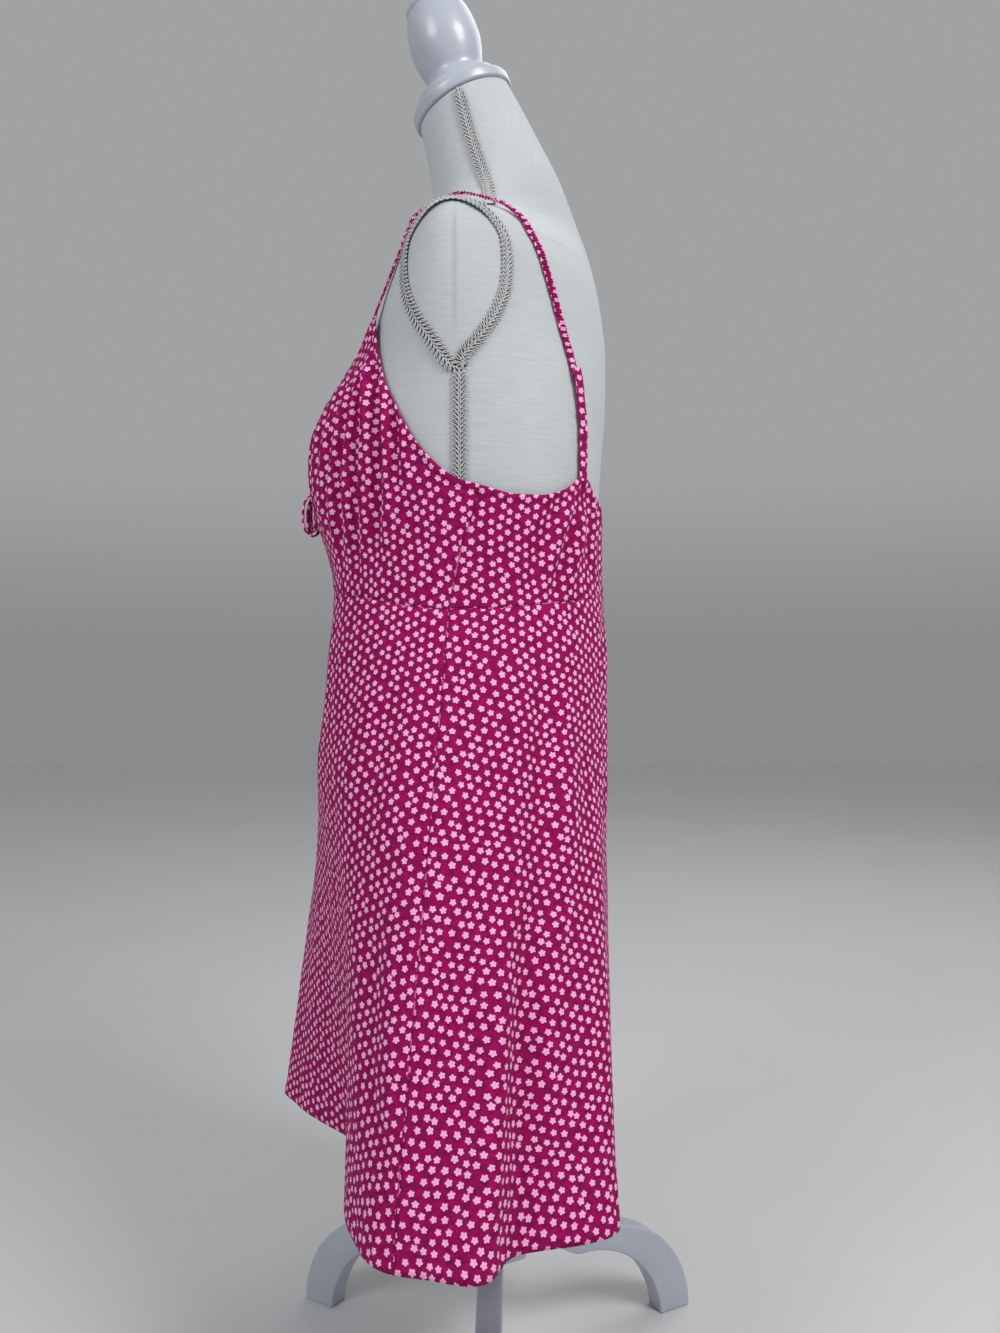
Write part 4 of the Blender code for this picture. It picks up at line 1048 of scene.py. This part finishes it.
STRAP_LIFT = 0.0010
STRAP_THICK = 0.0018
STRAP_OVER_SEAM = 0.0034
STRAP = [
    (0.0880, -0.0840, 0.945, 0.0020),
    (0.1030, -0.0730, 0.972, STRAP_LIFT),
    (0.1100, -0.0590, 0.996, 0.0014),
    (0.1075, -0.0400, 1.0120, 0.0018),
    (0.1020, -0.0220, 1.0180, STRAP_OVER_SEAM),
    (0.0990, 0.0060, 1.0125, STRAP_OVER_SEAM),
    (0.1020, 0.0190, 1.0030, 0.0018),
    (0.1045, 0.0325, 0.9860, STRAP_LIFT),
    (0.1050, 0.0475, 0.9480, STRAP_LIFT),
    (0.1050, 0.0600, 0.9000, STRAP_LIFT),
    (0.1045, 0.0680, 0.8690, STRAP_LIFT),
]
BACK_STRAP = [
    (0.1045, 0.0655, 0.8790, STRAP_LIFT + STRAP_THICK + 0.0006),
    (0.1045, 0.0680, 0.8690, STRAP_LIFT + STRAP_THICK + 0.0006),
    (0.1045, 0.0715, 0.8560, 0.0020),
    (0.1040, 0.0745, 0.8300, 0.0020),
]
"""Where the straps' middles run, as (x, y, height) and how far they are lifted off the form."""
STRAP_BEARING = 36.0
BACK_STRAP_BEARING = 139.5
STRAP_HALF_SIZES = (0.0046, 0.0010)
BACK_STRAP_HALF_SIZES = (0.0055, 0.0012)
STRAP_SHIRRED = (0.030, 0.325)
BACK_STRAP_SHIRRED = (0.0, 0.02)
STRAP_FULLNESS = 1.35
STRAP_STEP = 0.00042
STRAP_EASING = 18
RIB_PITCH = 0.0026
RIB_WIDE = 0.03
RIB_THICK = 0.55
BOW_LOOP = [
    (0.0048, -0.0010, 0.0020), (0.0088, -0.0050, -0.0010), (0.0122, -0.0078, -0.0120),
    (0.0130, -0.0076, -0.0240), (0.0118, -0.0036, -0.0325), (0.0092, 0.0014, -0.0290),
    (0.0068, 0.0008, -0.0150), (0.0054, -0.0006, -0.0060),
]
BOW_TAIL = [(0.0028, -0.0022, -0.0062), (0.0046, -0.0030, -0.0150), (0.0062, -0.0026, -0.0290)]
"""The left half of the bow, as (x, y, height) from the knot's middle."""
RIBBON_HALF_SIZES = (0.0022, 0.00085)
RIBBON_LIFT = 0.00065


def strap_route(rows, side, count):
    """The middle of a strap on the form, and the way outwards at each place."""
    route = smooth_route([(side * row[0], row[1], row[2]) for row in rows], count)
    lengths = running_lengths([Vector(row[:3]) for row in rows])
    lift_at = curve_through(lengths, [row[3] for row in rows])
    return laid_on_form(route, [lift_at(lengths[-1] * i / (count - 1)) for i in range(count)])


def strap_seat(bearing, side):
    """Two places straight up from the bodice's top edge, in its cloth, and the way outwards."""
    point_at = bodice_at(0, 360, swinging=False)
    across = side * bearing / 360 % 1.0
    edge, lower = point_at(across, 0.0), point_at(across, 0.1)
    along = point_at(across + 0.003, 0.0) - point_at(across - 0.003, 0.0)
    up = (edge - lower).normalized()
    out = along.cross(up).normalized()
    if out.dot(Vector((*edge.xy, 0))) < 0:
        out = -out
    return edge, up, out


def eased(stations, passes):
    """The stations of a path, each pass drawing them towards their neighbours."""
    for _ in range(passes):
        inner = [(a + b * 2 + c) / 4 for a, b, c in zip(stations, stations[1:], stations[2:])]
        stations = [stations[0]] + inner + [stations[-1]]
    return stations


def shirred(run, size, start, end):
    """The half sizes of a gathered strap: close ribs between start and end, slight puckers elsewhere."""
    ribs = soft_step(start, start + 0.02, run) * soft_step(0, 0.02, end - run)
    wave = math.sin(run / RIB_PITCH * math.tau + 1.2 * math.sin(run / 0.013))
    loose = 0.05 * math.sin(run / 0.017 * math.tau) + 0.04 * math.sin(run / 0.0069 * math.tau)
    return size[0] * (1 + RIB_WIDE * ribs * wave + loose), size[1] * (1 + RIB_THICK * ribs * wave + loose)


def make_strap(name, node, rows, bearing, side, size, count, seat_first, ribs):
    """A strap from its seat in the bodice's top edge along its rows, or the other way about."""
    edge, up, out = strap_seat(bearing, side)
    centres, outs = strap_route([(*row[:3], row[3] + size[1]) for row in rows], side, count)
    foot = [edge - up * 0.004 - out * 0.0018, edge + up * 0.003 - out * 0.0010]
    if seat_first:
        centres, outs = foot + centres, [out, out] + outs
    else:
        centres, outs = centres + foot[::-1], outs + [out, out]
    fine = smooth_route(centres, round(running_lengths(centres)[-1] / STRAP_STEP))
    turning = path_curves([i / (len(outs) - 1) for i in range(len(outs))], outs)
    ways = [Vector([at(i / (len(fine) - 1)) for at in turning]).normalized() for i in range(len(fine))]
    fine = eased(fine, STRAP_EASING)
    bm = new_mesh()
    tube(bm, fine, ways, [shirred(run, size, *ribs) for run in running_lengths(fine)], 14, squareness=2.4,
         gathered=STRAP_FULLNESS if seat_first else 1.0)
    finish(name, bm, [PRINT], node)


for word, side in (("left", 1), ("right", -1)):
    make_strap(f"strap_tube_{word}", f"strap_{word}", STRAP, STRAP_BEARING, side, STRAP_HALF_SIZES, 60, True,
               STRAP_SHIRRED)
    make_strap(f"back_strap_tube_{word}", f"back_strap_{word}", BACK_STRAP, BACK_STRAP_BEARING, side,
               BACK_STRAP_HALF_SIZES, 16, False, BACK_STRAP_SHIRRED)


def wrapped_knot(centre, size):
    """A small knot: cloth wrapped twice round, with soft grooves."""
    bm = new_mesh()
    bmesh.ops.create_icosphere(bm, subdivisions=4, radius=1.0)
    for vert in bm.verts:
        x, y, z = vert.co
        groove = 1 - 0.10 * hump(z - 0.30 - 0.35 * x, 0, 0.10) - 0.08 * hump(z + 0.40 - 0.2 * x, 0, 0.09)
        ripple = 1 + 0.03 * math.sin(7 * z + 4 * x + 1.0)
        shaped = [power(axis, 0.72) * half * groove * ripple for axis, half in zip((x, y, z), size)]
        vert.co = Vector(shaped) + centre
    lay_cut(bm, bm.faces, lambda vert: (vert.co.x - 0.4, vert.co.z + vert.co.y))
    return bm


knot_low, knot_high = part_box("bow_knot")
knot_centre = (knot_low + knot_high) / 2 - POLE
knot = wrapped_knot(knot_centre, (knot_high - knot_low) / 2)
finish("bow_wrap", knot, [PRINT], "bow_knot")
for word, side in (("left", 1), ("right", -1)):
    for piece, rows, count in (("loop", BOW_LOOP, 60), ("tail", BOW_TAIL, 24)):
        offsets = smooth_route([(side * x, y, z) for x, y, z in rows], count)
        middle = sum(offsets, Vector()) / count
        outs = [(offset - middle).normalized() if piece == "loop" else Vector((0, -1, 0))
                for offset in offsets]
        widths = [1 + 0.08 * math.sin(i * 0.9) - 0.25 * math.exp(-i / 4) for i in range(count)]
        bm = new_mesh()
        tube(bm, [knot_centre + offset + out * RIBBON_LIFT for offset, out in zip(offsets, outs)], outs,
             [(RIBBON_HALF_SIZES[0] * width, RIBBON_HALF_SIZES[1]) for width in widths], 12)
        finish(f"bow_ribbon_{piece}_{word}", bm, [PRINT], f"bow_{piece}_{word}")

# ---------------------------------------------------------------- turned and sawn wood

CAP_TILT = math.radians(25.0)
CAP_SEAT = Vector((0.0, -0.0255, 1.1442))
CAP_PROFILE = [
    (0.0000, 0.0456), (0.0012, 0.0472), (0.0085, 0.0475), (0.0108, 0.0460), (0.0116, 0.0420),
    (0.0128, 0.0410), (0.0175, 0.0402), (0.0198, 0.0380),
]
FINIAL_TILT = math.radians(17.0)
FINIAL_BACK = 0.003
FINIAL_PROFILE = [
    (0.0000, 0.0300), (0.0075, 0.0262), (0.0105, 0.0258), (0.0180, 0.0280), (0.0280, 0.0308),
    (0.0396, 0.0325), (0.0516, 0.0318), (0.0640, 0.0296), (0.0715, 0.0268), (0.0735, 0.0256),
    (0.0747, 0.0263), (0.0767, 0.0264), (0.0785, 0.0252), (0.0810, 0.0190), (0.0832, 0.0095),
]
HUB_ACROSS_FLATS = 0.060
HUB_LOW, HUB_HIGH = 0.106, 0.168
LEG_THICK = 0.0215
LEG_OUTER = dict(centre=(0.1165, 0.0), radius=0.1000)
LEG_INNER = dict(centre=(0.092, -0.008), radius=0.0905)
LEG_ROOT_TOP, LEG_ROOT_UNDER = 0.154, 0.114
TRIPOD_TURN = math.radians(-1.6)
POLE_RADIUS = 0.014
WOOD_GAP = 0.0003
LEG_EDGE = 0.0020
HUB_EDGE = 0.0026
CAP_EDGE = 0.0012
FINIAL_EDGE = 0.0008


def turned(name, node, profile, seat, tilt, bevel):
    """A turned piece on a leaning axis, its foot cut to the cap's slope: the profile spun round, its
    corners eased."""
    bm = bmesh.new()
    rows = [(profile[0][0], 0.0)] + list(profile) + [(profile[-1][0], 0.0)]
    chain = [bm.verts.new((radius, 0, along)) for along, radius in rows]
    edges = [bm.edges.new(pair) for pair in zip(chain, chain[1:])]
    bmesh.ops.spin(bm, geom=chain + edges, cent=(0, 0, 0), axis=(0, 0, 1), angle=math.tau, steps=72,
                   use_merge=True)
    bmesh.ops.remove_doubles(bm, verts=bm.verts, dist=1e-6)
    bmesh.ops.recalc_face_normals(bm, faces=bm.faces)
    foot = [vert for vert in bm.verts if vert.co.z < 1e-6]
    body = [vert for vert in bm.verts if vert.co.z >= 1e-6]
    for verts, lean in ((foot, CAP_TILT), (body, tilt)):
        bmesh.ops.rotate(bm, verts=verts, matrix=Matrix.Rotation(lean, 3, "X"))
    bmesh.ops.translate(bm, verts=bm.verts, vec=seat)
    corners = finish(name, bm, [PAINT], node).modifiers.new("eased", "BEVEL")
    corners.width = bevel
    corners.segments = 3
    corners.limit_method = "ANGLE"
    corners.angle_limit = math.radians(28)


def rounded_profile(profile, parts):
    """More rows between the given ones, on a smooth curve."""
    radius_at = curve_through([row[0] for row in profile], [row[1] for row in profile])
    alongs = [a + (b - a) * k / parts for (a, _), (b, _) in zip(profile, profile[1:]) for k in range(parts)]
    return [(along, radius_at(along)) for along in alongs + [profile[-1][0]]]


slope = Matrix.Rotation(CAP_TILT, 4, "X")
cap_seat = CAP_SEAT + slope @ Vector((0, 0, WOOD_GAP))
turned("neck_block", "neck_cap", CAP_PROFILE, cap_seat, CAP_TILT, CAP_EDGE)
finial_seat = CAP_SEAT + slope @ Vector((0, FINIAL_BACK, CAP_PROFILE[-1][0] + 2 * WOOD_GAP))
turned("finial_knob", "finial", [FINIAL_PROFILE[0]] + rounded_profile(FINIAL_PROFILE[1:], 3), finial_seat,
       FINIAL_TILT, FINIAL_EDGE)


def sawn(name, bm, node, sharp_above):
    """A piece of painted wood whose faces stay flat between its eased edges."""
    finish(name, bm, [PAINT], node).data.set_sharp_from_angle(angle=math.radians(sharp_above))


def eased_edges(bm, edges, width):
    bmesh.ops.bevel(bm, geom=edges, offset=width, segments=4, profile=0.5, affect="EDGES", material=-1)


def upright(segments, radius, low, high):
    """A round or many-sided post between two heights."""
    bm = bmesh.new()
    bmesh.ops.create_cone(bm, cap_ends=True, segments=segments, radius1=radius, radius2=radius,
                          depth=high - low)
    return bm


pole = upright(64, POLE_RADIUS, pole_low.z, pole_high.z)
bmesh.ops.translate(pole, verts=pole.verts, vec=(0, 0, (pole_low.z + pole_high.z) / 2))
sawn("pole_turning", pole, "pole", 50)

hub = upright(6, HUB_ACROSS_FLATS / 2 / math.cos(math.pi / 6), HUB_LOW, HUB_HIGH)
bmesh.ops.rotate(hub, verts=hub.verts, matrix=Matrix.Rotation(TRIPOD_TURN + math.pi / 6, 3, "Z"))
bmesh.ops.translate(hub, verts=hub.verts, vec=(0, 0, (HUB_LOW + HUB_HIGH) / 2))
eased_edges(hub, hub.edges[:], HUB_EDGE)
sawn("hub_block", hub, "hub", 40)


def arc_points(arc, start_out, end_out, count):
    """Points of (out, height) on an arc between two distances out from the pole."""
    (middle, base), radius = arc["centre"], arc["radius"]
    first, last = (math.acos(max(-1.0, min(1.0, (out - middle) / radius))) for out in (start_out, end_out))
    turns = [first + (last - first) * i / (count - 1) for i in range(count)]
    return [(middle + radius * math.cos(t), base + radius * math.sin(t)) for t in turns]


def rise_to_root(start, root, count):
    """Points of (out, height) that lead smoothly from an arc's end to the hub."""
    shares = [i / count for i in range(1, count + 1)]
    return [(start[0] + (root[0] - start[0]) * t, start[1] + (root[1] - start[1]) * t * t * (3 - 2 * t))
            for t in shares]


def leg(name, node, bearing):
    """A sawn board: an outer arc over an inner arc, its edges rounded over."""
    toe = LEG_OUTER["centre"][0] + LEG_OUTER["radius"]
    middle, drop = LEG_INNER["centre"]
    heel = middle + math.sqrt(LEG_INNER["radius"] ** 2 - drop ** 2)
    root = HUB_ACROSS_FLATS / 2 + WOOD_GAP
    over = arc_points(LEG_OUTER, toe, LEG_OUTER["centre"][0], 40)
    under = arc_points(LEG_INNER, middle, heel, 40)
    outline = (over + rise_to_root(over[-1], (root, LEG_ROOT_TOP), 14)
               + rise_to_root(under[0], (root, LEG_ROOT_UNDER), 14)[::-1] + under)
    bm = bmesh.new()
    face = bm.faces.new([bm.verts.new((out, -LEG_THICK / 2, height)) for out, height in outline])
    grown = bmesh.ops.extrude_face_region(bm, geom=[face])["geom"]
    bmesh.ops.translate(bm, verts=[item for item in grown if isinstance(item, bmesh.types.BMVert)],
                        vec=(0, LEG_THICK, 0))
    bmesh.ops.recalc_face_normals(bm, faces=bm.faces)
    rims = [edge for edge in bm.edges
            if len(edge.link_faces) == 2 and edge.calc_face_angle() > math.radians(50)]
    eased_edges(bm, rims, LEG_EDGE)
    bmesh.ops.rotate(bm, verts=bm.verts, matrix=Matrix.Rotation(bearing + TRIPOD_TURN, 3, "Z"))
    sawn(name, bm, node, 40)


for word, bearing in (("left", 0), ("back", 120), ("front", -120)):
    leg(f"leg_board_{word}", f"leg_{word}", math.radians(bearing))

# ---------------------------------------------------------------- floor, light and camera

FLOOR_REACH = 6.0

floor_finish = Finish("floor_paint", roughness=0.7)
floor_grain = floor_finish.grain(floor_finish.place(), 3.0)
floor_finish.colour(floor_finish.mix(floor_grain, srgb(205, 206, 207), srgb(211, 212, 213)))
bm = bmesh.new()
bmesh.ops.create_grid(bm, x_segments=1, y_segments=1, size=FLOOR_REACH)
mesh = bpy.data.meshes.new("floor")
bm.to_mesh(mesh)
bm.free()
mesh.materials.append(floor_finish.material)
into_scene("floor", mesh)

SOFT_LIGHTS = (
    ("window", (1.3, 1.2, 2.2), 34, 1.0, (1.0, 0.99, 0.98), 0.9),
    ("fill", (1.7, -1.4, 1.9), 19, 1.0, (0.97, 0.98, 1.0), 0.95),
    ("back_wash", (-1.6, 1.2, 2.8), 20, 2.2, (1.0, 1.0, 1.0), 0.7),
)
"""Each one's name, place, power in watts, size, tint and the height on the pole that it is aimed at."""
for name, place, power_watts, size, tint, aim in SOFT_LIGHTS:
    light = bpy.data.lights.new(name, "AREA")
    light.energy = power_watts
    light.shape = "DISK"
    light.size = size
    light.color = tint
    lamp = into_scene(name, light)
    lamp.location = POLE + Vector(place)
    lamp.rotation_euler = (Vector((0, 0, aim)) - Vector(place)).to_track_quat("-Z", "Y").to_euler()

BACKDROP_STRENGTH = 0.49
BACKDROP_LOW = (0.515, 0.53, 0.54, 1)
BACKDROP_HIGH = (0.73, 0.74, 0.75, 1)
BACKDROP_FADE_END = 0.20

world = bpy.data.worlds.new("studio")
bpy.context.scene.world = world
world.use_nodes = True
sky = world.node_tree
background = sky.nodes["Background"]
background.inputs["Strength"].default_value = BACKDROP_STRENGTH
direction = sky.nodes.new("ShaderNodeTexCoord")
height = sky.nodes.new("ShaderNodeSeparateXYZ")
fade = sky.nodes.new("ShaderNodeMapRange")
fade.interpolation_type = "SMOOTHSTEP"
fade.inputs["From Max"].default_value = BACKDROP_FADE_END
tones = sky.nodes.new("ShaderNodeMix")
tones.data_type = "RGBA"
tones.inputs["A"].default_value = BACKDROP_LOW
tones.inputs["B"].default_value = BACKDROP_HIGH
for output, socket in (
        (direction.outputs["Generated"], height.inputs[0]),
        (height.outputs["Z"], fade.inputs["Value"]),
        (fade.outputs["Result"], tones.inputs["Factor"]),
        (tones.outputs["Result"], background.inputs["Color"])):
    sky.links.new(output, socket)

bpy.context.scene.view_settings.view_transform = "Standard"

CAMERA_PLACE = (0.985, 0.0064, 0.637)
CAMERA_LENS = 29.17
CAMERA_SENSOR = 36.0
camera_data = bpy.data.cameras.new("camera")
camera_data.lens = CAMERA_LENS
camera_data.sensor_width = CAMERA_SENSOR
camera_data.sensor_fit = "AUTO"
camera = into_scene("camera", camera_data)
camera.location = POLE + Vector(CAMERA_PLACE)
camera.rotation_euler = (math.pi / 2, 0, math.pi / 2)
bpy.context.scene.camera = camera
